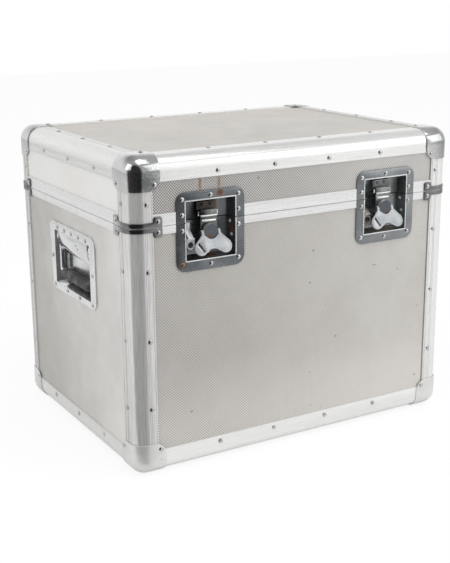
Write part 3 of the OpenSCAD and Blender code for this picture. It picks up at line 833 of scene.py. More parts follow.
def domes(label: str, radius: float, height: float) -> Repeater:
    """Makes the tree of domed heads.

    Args:
        label: the tree's name.
        radius: a head's radius in millimetres.
        height: how far it stands out.

    Returns:
        The tree.
    """
    tree = Repeater(label, {"Head Radius": radius * MM, "Head Height": height * MM})
    wide = tree.sizes["Head Radius"]
    ball = tree.node("GeometryNodeMeshUVSphere", Segments=16, Rings=10, Radius=1.0)
    scale = tree.node("ShaderNodeCombineXYZ", X=wide, Y=wide, Z=tree.sizes["Head Height"])
    aim = tree.node("GeometryNodeInputNamedAttribute", Name="aim")
    aim.data_type = "FLOAT_VECTOR"
    turn = tree.node("FunctionNodeAlignRotationToVector", Vector=aim.outputs["Attribute"])
    turn.axis = "Z"
    tree.close(ball.outputs["Mesh"], Rotation=turn.outputs[0], Scale=scale.outputs[0])
    return tree


def coil_tree(turns: float, radius: float, wire: float, length: float) -> Repeater:
    """Makes the tree of a wound spring along Y, its middle on each point.

    Args:
        turns: how many turns it has.
        radius: the radius of the turns in millimetres.
        wire: the wire's radius.
        length: its length.

    Returns:
        The tree.
    """
    tree = Repeater("handle spring", {"Turns": turns, "Coil Radius": radius * MM, "Wire Radius": wire * MM,
                                      "Length": length * MM})
    wide, reach = tree.sizes["Coil Radius"], tree.sizes["Length"]
    spiral = tree.node("GeometryNodeCurveSpiral", Resolution=20, Rotations=tree.sizes["Turns"],
                       Start_Radius=wide, End_Radius=wide, Height=reach)
    ring = tree.node("GeometryNodeCurvePrimitiveCircle", Resolution=8, Radius=tree.sizes["Wire Radius"])
    wound = tree.node("GeometryNodeCurveToMesh", Curve=spiral.outputs[0], Profile_Curve=ring.outputs[0],
                      Fill_Caps=True)
    half = tree.node("ShaderNodeCombineXYZ", Y=tree.times(reach, -0.5))
    laid = tree.node("GeometryNodeTransform", Geometry=wound.outputs[0], Translation=half.outputs[0],
                     Rotation=(-math.pi / 2, 0, 0))
    tree.close(laid.outputs[0])
    return tree


def peaks_tree(size: Point, peaks: tuple[int, int], depth: float, steps: int = 8) -> Repeater:
    """Makes the tree of a foam slab whose underside is cut in peaks, its top's middle on each point.

    Args:
        size: the slab's width, depth and thickness in millimetres.
        peaks: how many peaks it has along X and along Y.
        depth: how deep the hollows between the peaks are.
        steps: how many faces run along a peak.

    Returns:
        The tree.
    """
    tree = Repeater("peaked foam", {"Width": size[0] * MM, "Depth": size[1] * MM, "Thickness": size[2] * MM,
                                    "Peaks X": peaks[0], "Peaks Y": peaks[1], "Hollow Depth": depth * MM})
    thick = tree.sizes["Thickness"]
    extent = tree.node("ShaderNodeCombineXYZ", X=tree.sizes["Width"], Y=tree.sizes["Depth"], Z=thick)
    block = tree.node("GeometryNodeMeshCube", Size=extent.outputs[0], Vertices_X=peaks[0] * steps + 1,
                      Vertices_Y=peaks[1] * steps + 1, Vertices_Z=2)
    where = tree.node("GeometryNodeInputPosition")
    axes = tree.node("ShaderNodeSeparateXYZ", Vector=where.outputs[0]).outputs
    waves = []
    for axis, width, count in (("X", "Width", "Peaks X"), ("Y", "Depth", "Peaks Y")):
        share = tree.math("DIVIDE", axes[axis], tree.sizes[width])
        turn = tree.times(tree.times(share, tree.sizes[count]), 2 * math.pi)
        waves.append(tree.math("COSINE", turn))
    wave = tree.math("ADD", tree.times(tree.times(*waves), 0.5), 0.5)
    low = tree.math("LESS_THAN", axes["Z"], 0.0)
    rise = tree.times(tree.times(wave, tree.sizes["Hollow Depth"]), low)
    drop = tree.times(thick, -0.5)
    offset = tree.node("ShaderNodeCombineXYZ", Z=tree.math("ADD", rise, drop))
    shaped = tree.node("GeometryNodeSetPosition", Geometry=block.outputs["Mesh"], Offset=offset.outputs[0])
    tree.close(shaped.outputs[0])
    return tree


GREY_FACING = (0.585, 0.557, 0.522)
# Ends of the painted light gradient across the front and rear panels.
ACROSS_FRONT = (-210.0, 230.0)
POST_SEAM = Stain((226.4, -191, 215), (1.0, 5, 900), 0.75)

FRONT_FACING = EmbossedFacing(
    "front facing", Face.FRONT, GREY_FACING, (0.67, 0.65, 0.615), 0.46,
    marks=(POST_SEAM, Stain((16, -191, 231), (1.3, 5, 1.6), 0.9),
           Stain((129, -191, 241), (5.0, 5, 0.9), 0.7)),
    # Painted light: paler towards the bottom of the panel.
    polish=ACROSS_FRONT, pale_foot=(170, 40))
LID_FRONT_FACING = EmbossedFacing(
    "lid front facing", Face.FRONT, (0.58, 0.56, 0.54), (0.70, 0.68, 0.655), 0.70,
    stains=(Stain((-158, -191, 389), (3.0, 6, 15), 0.95), Stain((-129.8, -191, 389), (3.2, 6, 15), 0.75)),
    marks=(POST_SEAM,), polish=ACROSS_FRONT)
SIDE_FACING = EmbossedFacing(
    # Painted light: the side panel paler towards the front.
    "side facing", Face.SIDE, (0.505, 0.49, 0.46), (0.76, 0.745, 0.715), 0.10, polish=(190.0, -170.0))
LID_SIDE_FACING = EmbossedFacing(
    "lid side facing", Face.SIDE, (0.85, 0.845, 0.825), (0.82, 0.81, 0.785), 0.06, scuffs=0.12)
TOP_SHEET = EmbossedFacing(
    "top facing", Face.TOP, (0.60, 0.58, 0.545), (0.66, 0.625, 0.585), 0.08, scuffs=0.45)
FLOOR_SHEET = EmbossedFacing("floor facing", Face.TOP, GREY_FACING, (0.5, 0.48, 0.44), 0.15, scuffs=0.7)

POST_ANGLE = WornMetal(
    "post aluminium", (0.74, 0.735, 0.725), (0.66, 0.655, 0.645), (0.14, 0.24), 0.50, Run.Z, 0.35, 0.15,
    # Painted highlight: the front leg of the front-right post painted pale along its height.
    dents=0.03, grime=(Stain((245, -192, 215), (26, 10, 900), 0.75),), grime_colour=(0.90, 0.90, 0.895))
X_ANGLE = WornMetal(
    "front edge aluminium", (0.92, 0.92, 0.91), (0.86, 0.86, 0.85), (0.20, 0.30), 0.75, Run.X, 0.14, 0.12,
    dents=0.03)
Y_ANGLE = WornMetal(
    "side edge aluminium", (0.82, 0.82, 0.81), (0.76, 0.76, 0.745), (0.26, 0.36), 0.6, Run.Y, 0.12, 0.18,
    dents=0.03)
X_LOW_ANGLE = WornMetal(
    "front foot aluminium", (0.92, 0.92, 0.91), (0.86, 0.855, 0.84), (0.28, 0.42), 0.35, Run.X, 0.10, 0.3,
    dents=0.03)
Y_LOW_ANGLE = WornMetal(
    "side foot aluminium", (0.84, 0.84, 0.83), (0.78, 0.775, 0.76), (0.28, 0.42), 0.45, Run.Y, 0.10, 0.3,
    dents=0.03)
BAND = WornMetal(
    "closure aluminium", (0.84, 0.845, 0.84), (0.79, 0.79, 0.785), (0.24, 0.34), 0.6, Run.LEVEL, 0.12, 0.12,
    dents=0.03, grime=(Stain((0, 0, 340), (500, 500, 0.75), 0.85),), grime_colour=(0.16, 0.155, 0.15))

CAP_CHROME = WornMetal(
    "cap chrome", (0.64, 0.645, 0.65), (0.56, 0.56, 0.555), (0.04, 0.10), 1.0, scuffs=0.2,
    scuff_colour=(0.30, 0.26, 0.22), stains=(Stain((-255, -190, 404), (1.8, 9, 17), 0.45),), freckles=0.3,
    dents=0.35,
    # Patches: the front-right cap's darker galvanised tone, a dark spot at a dent, and painted dark
    # reflections on the front and top of the front-left cap.
    grime=(Stain((250, -190, 404), (22, 26, 40), 0.62), Stain((256, -186, 427), (6, 8, 4), 0.9),
           Stain((-236, -195, 397), (30, 12, 28), 0.97), Stain((-250, -176, 428), (7, 12, 8), 0.6)),
    grime_colour=(0.13, 0.136, 0.136))
CAP_DULL = WornMetal(
    "cap dull plate", (0.80, 0.80, 0.79), (0.70, 0.695, 0.68), (0.32, 0.5), 0.6, scuffs=0.4, freckles=0.5,
    dents=0.4)
BRACE = WornMetal(
    "brace steel", (0.13, 0.132, 0.135), (0.24, 0.243, 0.247), (0.10, 0.24), 1.0, scuffs=0.25, freckles=0.4,
    # Painted reflection: the front-left brace's left ears painted pale.
    dents=0.2, grime=(Stain((-262, -153, 340), (6, 17, 22), 0.9),), grime_colour=(0.64, 0.62, 0.60))
RIVET = WornMetal(
    "rivet steel", (0.60, 0.605, 0.61), (0.42, 0.42, 0.42), (0.08, 0.2), 1.0, scuffs=0.3,
    scuff_colour=(0.15, 0.12, 0.10), freckles=0.4, dents=0.05,
    stains=(Stain((-185.5, -194, 285), (4.5, 4, 4.5), 0.9),))
HINGE = WornMetal(
    "hinge zinc", (0.62, 0.63, 0.63), (0.50, 0.50, 0.50), (0.25, 0.45), 0.9, scuffs=0.3, freckles=0.3)
SPRING = WornMetal("spring steel", (0.30, 0.30, 0.31), (0.20, 0.20, 0.20), (0.25, 0.4), 1.0, scuffs=0.2)

DISH = WornMetal(
    "latch dish zinc", (0.125, 0.134, 0.143), (0.185, 0.198, 0.21), (0.20, 0.36), 0.85, scuffs=0.35,
    scuff_colour=(0.45, 0.46, 0.47), freckles=0.25, bare_before=-193.35,
    stains=(Stain((-129.3, -193, 375), (7, 4, 6), 0.85), Stain((-185.5, -193, 285), (7, 4, 6), 0.8),
            Stain((-143.5, -182, 290.5), (30, 9, 3.2), 0.95), Stain((-108, -184, 322), (4, 8, 14), 0.8)),
    # Painted shade: the left latch's recess darkened.
    grime=(Stain((-143.5, -172, 330), (46, 14, 48), 0.5),))
CLEAN_DISH = WornMetal(
    "latch dish clean zinc", (0.205, 0.218, 0.225), (0.275, 0.29, 0.298), (0.20, 0.36), 0.85, scuffs=0.3,
    scuff_colour=(0.55, 0.56, 0.56), freckles=0.2, bare_before=-193.35,
    stains=(Stain((143, -181, 291), (34, 10, 3.6), 0.85), Stain((118, -183, 300), (9, 8, 12), 0.6)),
    rust=((0.20, 0.14, 0.08), (0.50, 0.38, 0.25)),
    # Painted shade on the walls of the right latch's recess.
    grime=(Stain((112, -176, 322), (14, 14, 34), 0.75), Stain((174, -178, 352), (9, 12, 20), 0.7)))
KEEPER = WornMetal(
    "keeper steel", (0.035, 0.031, 0.028), (0.07, 0.064, 0.058), (0.12, 0.28), 1.0, scuffs=0.35,
    bare_before=-184.6, stains=(Stain((-129.5, -182, 358), (2.6, 8, 9), 0.75),))
CLEAN_KEEPER = WornMetal(
    "keeper zinc", (0.15, 0.16, 0.162), (0.21, 0.22, 0.222), (0.16, 0.32), 0.9, scuffs=0.3,
    bare_before=-184.6)
HOOK = WornMetal(
    "hook steel", (0.10, 0.107, 0.102), (0.17, 0.178, 0.172), (0.12, 0.28), 1.0, scuffs=0.3,
    bare_before=-187.75, freckles=0.2)
CLEAN_HOOK = WornMetal(
    "hook zinc", (0.22, 0.23, 0.228), (0.30, 0.31, 0.308), (0.16, 0.32), 0.9, scuffs=0.3,
    bare_before=-187.75, freckles=0.2)
EYE = WornMetal(
    "padlock eye steel", (0.20, 0.18, 0.155), (0.36, 0.33, 0.28), (0.18, 0.36), 0.85, scuffs=0.4,
    freckles=0.6)
SPINDLE = WornMetal(
    # Painted shade and reflection: the drum's front face dark and its side pale, on one metal.
    "spindle zinc", (0.66, 0.67, 0.66), (0.54, 0.55, 0.54), (0.2, 0.34), 0.7, scuffs=0.2, bare_before=-194.1,
    bare_colour=(0.10, 0.112, 0.125),
    stains=(Stain((-145.5, -196, 319.0), (6, 5, 3.8), 0.85), Stain((142, -196, 319.5), (5, 5, 3.0), 0.7)))
LATCH_BRIGHT = WornMetal(
    "latch bright plate", (0.60, 0.615, 0.63), (0.50, 0.515, 0.53), (0.32, 0.42), 0.5, scuffs=0.25,
    freckles=0.2, dents=0.04)
WING = WornMetal(
    "wing plate", (0.50, 0.515, 0.535), (0.40, 0.415, 0.43), (0.32, 0.42), 0.5, scuffs=0.25, freckles=0.2,
    dents=0.04)
LATCH_FINISHES = {Side.LEFT: (DISH, KEEPER, HOOK, LATCH_BRIGHT),
                  Side.RIGHT: (CLEAN_DISH, CLEAN_KEEPER, CLEAN_HOOK, EYE)}

HANDLE_CHROME = WornMetal(
    "handle chrome", (0.78, 0.79, 0.80), (0.70, 0.70, 0.70), (0.05, 0.14), 1.0, scuffs=0.25, freckles=0.3,
    stains=(Stain((-260, 5, 288), (4, 22, 2.0), 0.25),))
HANDLE_DISH = WornMetal(
    "handle dish plate", (0.80, 0.81, 0.81), (0.72, 0.72, 0.72), (0.10, 0.24), 0.9, scuffs=0.25, freckles=0.3,
    # Painted shade in the handle's recess, on its rear wall and floor.
    grime=(Stain((-247, 48, 252), (10, 24, 60), 0.55), Stain((-244, -30, 216), (14, 60, 12), 0.6)),
    grime_colour=(0.06, 0.07, 0.085))
GRIP = MouldedRubber("grip rubber", (0.06, 0.06, 0.06), (0.15, 0.148, 0.14))
FOAM = OpenFoam("charcoal foam", (0.030, 0.030, 0.032), (0.085, 0.085, 0.088))

SHELL_FINISHES: dict[str, Finish] = {
    "base_front_panel": FRONT_FACING, "base_rear_panel": FRONT_FACING, "lid_rear_panel": FRONT_FACING,
    "lid_front_panel": LID_FRONT_FACING, "base_left_panel": SIDE_FACING, "base_right_panel": SIDE_FACING,
    "lid_left_panel": LID_SIDE_FACING, "lid_right_panel": LID_SIDE_FACING, "lid_top_panel": TOP_SHEET,
    "base_floor_panel": FLOOR_SHEET, "base_corner_angles": POST_ANGLE, "lid_corner_angles": POST_ANGLE,
    "lid_front_edge_angle": X_ANGLE, "lid_rear_edge_angle": X_ANGLE, "lid_left_edge_angle": Y_ANGLE,
    "lid_right_edge_angle": Y_ANGLE, "base_front_edge_angle": X_LOW_ANGLE,
    "base_rear_edge_angle": X_LOW_ANGLE, "base_left_edge_angle": Y_LOW_ANGLE,
    "base_right_edge_angle": Y_LOW_ANGLE, "base_closure": BAND, "lid_closure": BAND}


@dataclass
class Shell:
    """The panels, the aluminium angles and the closure bands, which keep their CAD solids."""

    finishes: dict[str, Finish] = field(default_factory=lambda: SHELL_FINISHES)

    def build(self) -> None:
        """Gives each node its finish."""
        for name, finish in self.finishes.items():
            dress(node(name), finish)
            log.info("%s: %s", name, finish.name)


@dataclass
class CornerFittings:
    """The ball corner caps and the braces at the lid joint, with their pressed edges rounded."""

    edge: float = 0.55

    def build(self) -> None:
        """Makes and dresses the pieces."""
        for name, finish in (("lid_corner_caps", CAP_CHROME), ("base_corner_caps", CAP_DULL),
                             ("base_corner_braces", BRACE), ("lid_corner_braces", BRACE)):
            dress(softened(name, self.edge), finish)
            log.info("%s finished", name)


def both(points: Iterable[Placed], across_x: bool, across_y: bool) -> list[Placed]:
    """Copies points and their directions across the middle planes.

    Args:
        points: pairs of a point and a direction.
        across_x: whether they are copied to the other side of x = 0.
        across_y: whether they are copied to the other side of y = 0.

    Returns:
        All the pairs.
    """
    made = []
    for sx in (1, -1) if across_x else (1,):
        for sy in (1, -1) if across_y else (1,):
            for (x, y, z), (u, v, w) in points:
                made.append(((sx * x, sy * y, z), (sx * u, sy * v, w)))
    return made


@dataclass(frozen=True)
class RivetRows:
    """Where the rivets of the base or of the lid are, in millimetres.

    The row on the top or bottom has an up of 1 where it looks up, and of -1 where it looks down. Places on a
    handle dish are Y and Z from its middle, and places on a latch dish are X from its middle and Z.
    """

    cap_z: float
    cap_flat_z: float | None
    posts: tuple[float, ...]
    brace_z: float
    wall_z: float
    flat_z: float
    up: int
    handle: tuple[tuple[float, float], ...]
    latch: tuple[tuple[float, float], ...]
    hinge: tuple[float, float]


BASE_ROWS = RivetRows(
    37, None, (95, 189, 282), 333, 27, 1.5, -1,
    (*((y, 43) for y in (-50, -25, 0, 25, 50)), *((y, -45) for y in (-67, -22, 22, 67)), (-71, -2), (71, -2)),
    ((-42, 330), (42, 330), (-42, 285), (0, 282), (42, 285)), (298, 324))
LID_ROWS = RivetRows(
    CASE_H - 35.5, CASE_H + CAP_T, (370,), 347, CASE_H - 25.5, CASE_H, 1, (),
    ((-42, 350.5), (42, 350.5), (-42, 371), (0, 373.5), (42, 371)), (377, 359))


@dataclass
class Rivets:
    """The domed rivets of the base and of the lid, laid out as on the solids."""

    head_r: float = 3.4
    head_h: float = 1.4
    inset: float = 24.5
    pitch: float = 88.0
    cap_inset: float = 35.5
    brace_inset: float = 39.5
    hinge_x: float = 150.0
    hinge_steps: Point = (-20, 0, 20)
    leaf_t: float = 0.2
    front: Point = (0, -1, 0)
    left: Point = (-1, 0, 0)
    rear: Point = (0, 1, 0)

    def pair(self, inset: float, lift: float, z: float) -> list[Placed]:
        """Places a rivet on the front and one on the left, both as far in from the corner."""
        return [((inset - HALF_W, -HALF_D - lift, z), self.front),
                ((-HALF_W - lift, inset - HALF_D, z), self.left)]

    def corners(self, rows: RivetRows) -> list[Placed]:
        """Lays out the rivets of the four upright corners.

        Args:
            rows: where the rivets are.

        Returns:
            Pairs of a point and a direction.
        """
        made = self.pair(self.cap_inset, CAP_T, rows.cap_z)
        if rows.cap_flat_z is not None:
            made.append(((self.cap_inset - HALF_W, self.cap_inset - HALF_D, rows.cap_flat_z), (0, 0, 1)))
        for z in rows.posts:
            made += self.pair(self.inset, 0.0, z)
        return both(made + self.pair(self.brace_inset, CAP_T, rows.brace_z), True, True)

    def edges(self, rows: RivetRows) -> list[Placed]:
        """Lays out the rivets of the four edge angles at one level.

        Args:
            rows: where the rivets are.

        Returns:
            Pairs of a point and a direction.
        """
        along_x, along_y = [], []
        for x in (step * self.pitch for step in (-1.5, -0.5, 0.5, 1.5)):
            along_x += [((x, -HALF_D, rows.wall_z), self.front),
                        ((x, self.inset - HALF_D, rows.flat_z), (0, 0, rows.up))]
        for y in (step * self.pitch for step in (-1, 0, 1)):
            along_y += [((-HALF_W, y, rows.wall_z), self.left),
                        ((self.inset - HALF_W, y, rows.flat_z), (0, 0, rows.up))]
        return both(along_x, False, True) + both(along_y, True, False)

    def fittings(self, rows: RivetRows) -> list[Placed]:
        """Lays out the rivets of the handle dishes, the latch dishes and the hinges.

        Args:
            rows: where the rivets are.

        Returns:
            Pairs of a point and a direction.
        """
        made = both([((-HANDLE_FACE_X, y, HANDLE_Z + z), self.left) for y, z in rows.handle], True, False)
        for side in Side:
            made += [((side.value * LATCH_X + dx, DISH_FACE_Y, z), self.front) for dx, z in rows.latch]
        for side in Side:
            made += [((side.value * self.hinge_x + dx, HALF_D + self.leaf_t, z), self.rear)
                     for dx in self.hinge_steps for z in rows.hinge]
        return made

    def build(self) -> None:
        """Makes one piece for the base and one for the lid."""
        tree = domes("rivet heads", self.head_r, self.head_h)
        for name, rows in (("base_rivets", BASE_ROWS), ("lid_rivets", LID_ROWS)):
            places = self.corners(rows) + self.edges(rows) + self.fittings(rows)
            stands_for(tree.make(name + "_domed", places, RIVET), name)
            log.info("%s: %d heads", name, len(places))


@dataclass
class ButterflyLatch:
    """One recessed butterfly latch, its sizes in millimetres.

    The lobe and the rim are measured from the wing's pin. The screws are given by depth and height, on the
    dish's slanting right wall, which starts at screw_x from the middle.
    """

    side: Side
    lobe: tuple[float, float] = (18.0, -21.5)
    lobe_r: float = 9.5
    rim_r: float = 0.65
    rim_inset: float = 1.5
    rim_depth: float = 2.4
    screws: tuple[tuple[float, float], ...] = ((10.0, 333.5), (7.0, 315.6))
    screw_x: float = 37.0
    screw_aim: Point = (-0.970, -0.243, 0.0)
    screw_head: tuple[float, float] = (2.3, 1.3)

    @property
    def x(self) -> float:
        """The latch's middle."""
        return self.side.value * LATCH_X

    def outline(self) -> list[tuple[float, float]]:
        """Gives the wing's outline a little inside its edge, the pin's axis at the origin.

        Returns:
            Points in X and Z, in millimetres.
        """
        right = [(12.8, -4.8), (16.9, -8.6), (22.0, -14.4)]
        r = self.lobe_r - self.rim_inset
        for angle in (math.radians(25 - 14.5 * i) for i in range(11)):
            right.append((self.lobe[0] + r * math.cos(angle), self.lobe[1] + r * math.sin(angle)))
        right += [(8.0, -26.2), (6.6, -24.4), (4.4, -22.7), (2.2, -22.4)]
        return right + [(-x, z) for x, z in reversed(right)]

    def rim(self) -> None:
        """Makes the raised rim round the wing's lobes as a tube on the plate's outer face."""
        name = f"latch_wing_rim_{self.side.word}"
        turn = Matrix.Rotation(-WING_REST, 4, "X")
        place = Matrix.Translation(Vector((self.x, DISH_FACE_Y + PIN_DEPTH, SPINDLE_Z)) * MM)
        points = [place @ turn @ (Vector((x, -self.rim_depth, z)) * MM) for x, z in self.outline()]
        curve = bpy.data.curves.new(name + "_path", "CURVE")
        curve.dimensions = "3D"
        curve.bevel_depth = self.rim_r * MM
        curve.bevel_resolution = 3
        curve.use_fill_caps = True
        line = curve.splines.new("POLY")
        line.points.add(len(points) - 1)
        for held, point in zip(line.points, points):
            held.co = (*point, 1.0)
        piece = smooth(flattened(placed(curve.name, curve), name), 60)
        dress(added(piece, f"latch_wing_{self.side.word}"), LATCH_BRIGHT)

    def build(self) -> None:
        """Makes and dresses the latch's pieces."""
        s = self.side.word
        dish, keeper, hook, eye = LATCH_FINISHES[self.side]
        for name, width, finish in (
                (f"latch_dish_lower_{s}", 0.45, dish), (f"latch_dish_upper_{s}", 0.45, dish),
                (f"latch_keeper_{s}", 0.35, keeper), (f"latch_hook_{s}", 0.35, hook),
                (f"padlock_eye_{s}", 0.4, eye), (f"latch_wing_{s}", 0.35, WING)):
            dress(softened(name, width), finish)
        dress(node(f"latch_spindle_{s}"), SPINDLE)
        dress(node(f"latch_wing_pin_{s}"), HOOK)
        self.rim()
        places = [((self.x + self.screw_x - depth / 4, DISH_FACE_Y + depth, z), self.screw_aim)
                  for depth, z in self.screws]
        heads = domes("dish screws", *self.screw_head)
        added(heads.make(f"latch_dish_screws_{s}", places, LATCH_BRIGHT), "base")
        log.info("latch %s finished", s)


@dataclass
class SprungHandle:
    """One recessed handle with its bail and grip, its sizes in millimetres.

    The lip's section is given by depth and height, and the cover's rivets by Y and height.
    """

    side: Side
    eye_r: float = 6.8
    eye_half: float = 3.9
    eye_y: float = 55.2
    lip: tuple[tuple[float, float], ...] = ((1.2, 277.0), (2.8, 277.6), (7.2, 264.6), (5.9, 264.0))
    lip_half: float = 50.0
    cover_t: float = 1.2
    cover_rivets: tuple[tuple[float, float], ...] = ((-13.5, 283.0), (-19.0, 279.2))
    rivet_head: tuple[float, float] = (1.7, 0.9)

    def at(self, depth: float) -> float:
        """Gives the X of a depth behind the dish's face."""
        return self.side.value * (HANDLE_FACE_X - depth)

    def cover_lip(self) -> None:
        """Makes the lower edge of the cover, which turns in over the spring."""
        name = f"handle_cover_lip_{self.side.word}"
        corners = [(self.at(depth), y, z) for y in (-self.lip_half, self.lip_half) for depth, z in self.lip]
        faces = [(i, (i + 1) % 4, (i + 1) % 4 + 4, i + 4) for i in range(4)]
        mesh = bpy.data.meshes.new(name + "_blank")
        mesh.from_pydata([tuple(c * MM for c in p) for p in corners], [],
                         [(3, 2, 1, 0), (4, 5, 6, 7), *faces])
        form = bmesh.new()
        form.from_mesh(mesh)
        bmesh.ops.recalc_face_normals(form, faces=form.faces)
        form.to_mesh(mesh)
        form.free()
        piece = rounded(placed(mesh.name, mesh), name, 0.3)
        dress(added(piece, "base"), HANDLE_CHROME)

    def bosses(self) -> None:
        """Makes the rounded bosses at the bail's eyes, and the two small rivets on the cover."""
        s = self.side.word
        places = [((self.at(BAIL_DEPTH), y, BAIL_PIVOT_Z), (0, 1, 0)) for y in (-self.eye_y, self.eye_y)]
        eyes = domes("bail bosses", self.eye_r, self.eye_half)
        added(eyes.make(f"handle_bail_bosses_{s}", places, HANDLE_CHROME),
              f"handle_bail_{s}")
        places = [((self.at(self.cover_t), y, z), (self.side.value, 0, 0)) for y, z in self.cover_rivets]
        small = domes("cover rivets", *self.rivet_head)
        added(small.make(f"handle_cover_rivets_{s}", places, RIVET), "base")

    def build(self) -> None:
        """Makes and dresses the handle's pieces."""
        s = self.side.word
        self.cover_lip()
        self.bosses()
        for name, width, finish in ((f"handle_dish_{s}", 0.45, HANDLE_DISH),
                                    (f"handle_cover_{s}", 0.35, HANDLE_CHROME),
                                    (f"handle_grip_{s}", 0.4, GRIP)):
            dress(softened(name, width), finish)
        dress(node(f"handle_bail_{s}"), HANDLE_CHROME)
        log.info("handle %s finished", s)


@dataclass
class HandleSprings:
    """The wound springs on the two bails' pivot rods, their sizes in millimetres."""

    turns: float = 16
    radius: float = 4.0
    wire: float = 0.7
    length: float = 34

    def build(self) -> None:
        """Makes both springs as one piece."""
        x = HANDLE_FACE_X - BAIL_DEPTH
        places = [((side.value * x, 0, BAIL_PIVOT_Z), (0, 1, 0)) for side in Side]
        tree = coil_tree(self.turns, self.radius, self.wire, self.length)
        stands_for(tree.make("handle_springs_wound", places, SPRING), "handle_springs")
        log.info("springs wound")


@dataclass
class RearHinges:
    """The two hinges on the rear wall."""

    edge: float = 0.35

    def build(self) -> None:
        """Makes and dresses the hinges' pieces."""
        for name in ("hinge_lower_leaves", "hinge_upper_leaves"):
            dress(softened(name, self.edge), HINGE)
        dress(node("hinge_pins"), HINGE)
        log.info("hinges finished")


@dataclass
class FoamLining:
    """The foam inside: floor pad, liners, dividers and the peaked pad in the lid.

    The peaked pad stays a gap inside its solid. Sizes are in millimetres, and fill, a share, is not used.
    """

    edge: float = 2.5
    peaks: tuple[int, int] = (18, 13)
    hollow: float = 11.0
    gap: float = 0.2
    fill: float = 0.9

    def build(self) -> None:
        """Makes and dresses the foam."""
        for name in ("foam_floor_pad", "foam_wall_liners", "foam_dividers"):
            dress(softened(name, self.edge, 3), FOAM)
        low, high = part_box("lid_foam_pad")
        size = [(b - a) / MM - 2 * self.gap for a, b in zip(low, high)]
        middle = (low + high) / 2 / MM
        tree = peaks_tree(size, self.peaks, self.hollow)
        top = (middle.x, middle.y, high.z / MM - self.gap)
        piece = tree.make("lid_foam_pad_peaked", [(top, (0, 0, 1))], FOAM)
        stands_for(piece, "lid_foam_pad")
        log.info("foam finished")


@dataclass(frozen=True)
class Lamp:
    """A square soft lamp: its name, its place and side in metres, its power in watts, and where it looks."""

    name: str
    at: Point
    side: float
    power: float
    aim: Point = (0.0, 0.0, 0.2)

    def hang(self) -> None:
        """Hangs the lamp."""
        data = bpy.data.lights.new(self.name, "AREA")
        data.size = self.side
        data.energy = self.power
        made = placed(self.name, data)
        made.location = self.at
        made.rotation_euler = (Vector(self.aim) - Vector(self.at)).to_track_quat("-Z", "Y").to_euler()


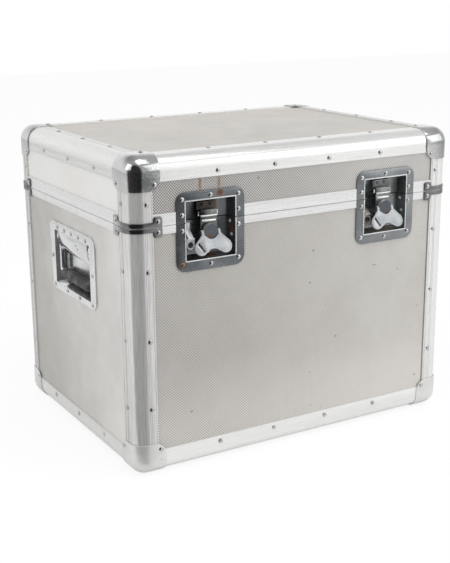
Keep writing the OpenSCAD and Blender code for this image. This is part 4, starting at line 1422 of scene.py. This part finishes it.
@dataclass(frozen=True)
class Studio:
    """The floor, the soft light and the camera, in metres and degrees.

    Metal sees a dark wedge of the room and the floor along dark_way, where the photographer stands, between
    the two cosines. Between the two heights of ceiling, on the unit sphere, it sees the room darken upwards.
    """

    eye: Point = (-0.8217, -1.3833, 0.6416)
    yaw: float = 30.42
    pitch: float = 15.69
    roll: float = -0.44
    lens: float = 68.99
    world_level: float = 0.76
    dark_way: tuple[float, float] = (-0.54, -0.84)
    dark_from: tuple[float, float] = (-0.245, -0.185)
    dark_cosines: tuple[float, float] = (0.50, 0.76)
    dark_level: float = 0.06
    dark_front: tuple[float, float] = (-0.24, -0.20)
    ceiling: tuple[float, float] = (0.25, 0.85)
    ceiling_level: float = 0.55
    floor_half: float = 6.0
    floor_glow: float = 1.03
    floor_share: float = 0.82
    lamps: tuple[Lamp, ...] = (
        Lamp("left softbox", (-2.0, -0.5, 1.5), 1.4, 8),
        Lamp("top softbox", (0.3, -0.9, 2.4), 1.4, 10),
        Lamp("right softbox", (2.2, -2.2, 1.5), 2.0, 13))

    def camera(self) -> None:
        """Places the camera where the photograph was taken."""
        yaw, pitch, roll = (math.radians(a) for a in (self.yaw, self.pitch, self.roll))
        ahead = Vector((math.sin(yaw) * math.cos(pitch), math.cos(yaw) * math.cos(pitch), -math.sin(pitch)))
        right = Vector((math.cos(yaw), -math.sin(yaw), 0.0))
        up = right.cross(ahead)
        right, up = right * math.cos(roll) + up * math.sin(roll), up * math.cos(roll) - right * math.sin(roll)
        data = bpy.data.cameras.new("camera")
        data.lens = self.lens
        data.sensor_width = 36.0
        made = placed("camera", data)
        made.matrix_world = Matrix((*zip(right, up, -ahead, self.eye), (0, 0, 0, 1)))
        bpy.context.scene.camera = made

    def world(self) -> None:
        """Makes a pale, even room, whose near end, where the photographer stands, is dark in metal."""
        room = bpy.data.worlds.new("room")
        bpy.context.scene.world = room
        room.use_nodes = True
        room.node_tree.nodes.clear()
        w = NodeTree(room.node_tree)
        place = w.node("ShaderNodeTexCoord").outputs["Generated"]
        near_end = w.span(w.cosine(place, self.dark_way), *self.dark_cosines, 1.0, self.dark_level)
        height = w.node("ShaderNodeSeparateXYZ", Vector=place).outputs["Z"]
        ceiling = w.span(height, *self.ceiling, 1.0, self.ceiling_level)
        seen = w.node("ShaderNodeLightPath").outputs
        level: Value = self.world_level
        for ray, light in (("Is Glossy Ray", w.times(near_end, ceiling)),
                           ("Is Transmission Ray", 1.0), ("Is Camera Ray", 1.0)):
            level = w.choose(seen[ray], level, light)
        glow = w.node("ShaderNodeBackground", Color=(1.0, 1.0, 1.0), Strength=level)
        w.node("ShaderNodeOutputWorld", Surface=glow.outputs[0])

    def floor(self) -> None:
        """Lays the pale floor, which keeps the case's shadow and looks white to the camera.

        In metal it is dark where the photographer stands.
        """
        half = self.floor_half
        mesh = bpy.data.meshes.new("floor")
        mesh.from_pydata([(-half, -half, 0), (half, -half, 0), (half, half, 0), (-half, half, 0)], [],
                         [(0, 1, 2, 3)])
        made = placed("floor", mesh)
        s = Shader("floor white")
        seen = s.node("ShaderNodeLightPath").outputs
        away = s.vector("SUBTRACT", s.place, (*self.dark_from, 0.0)).outputs[0]
        line = s.vector("NORMALIZE", away).outputs[0]
        wedge = s.span(s.cosine(line, self.dark_way), *self.dark_cosines)
        ahead = s.span(s.axes["Y"], *self.dark_front, 1.0, 0.0)
        dark = s.times(s.times(wedge, ahead), seen["Is Glossy Ray"])
        pale = s.mix(s.span(s.noise(3, 2), 0.2, 0.8, 0.0, 0.02), (0.93, 0.93, 0.93), (0.80, 0.80, 0.80))
        s.finish(s.mix(dark, pale, (0.07, 0.07, 0.07)), 0.9, 0.0, 0.0)
        glow = s.node("ShaderNodeEmission", Strength=self.floor_glow)
        shown = s.node("ShaderNodeMixShader")
        for socket, value in zip(shown.inputs, (s.times(seen["Is Camera Ray"], self.floor_share),
                                                s.surface.outputs[0], glow.outputs[0])):
            s.feed(socket, value)
        s.feed(s.tree.nodes["Material Output"].inputs["Surface"], shown.outputs[0])
        made.data.materials.append(s.material)

    def build(self) -> None:
        """Sets up camera, floor and light."""
        self.camera()
        self.floor()
        self.world()
        for lamp in self.lamps:
            lamp.hang()
        bpy.context.scene.view_settings.view_transform = "Standard"
        log.info("studio ready")


def main() -> None:
    """Builds the case's pieces in order."""
    logging.basicConfig(level=logging.INFO, format="%(name)s: %(message)s")
    Studio().build()
    Shell().build()
    CornerFittings().build()
    Rivets().build()
    for side in Side:
        ButterflyLatch(side).build()
        SprungHandle(side).build()
    HandleSprings().build()
    RearHinges().build()
    FoamLining().build()


if __name__ == "__main__":
    main()
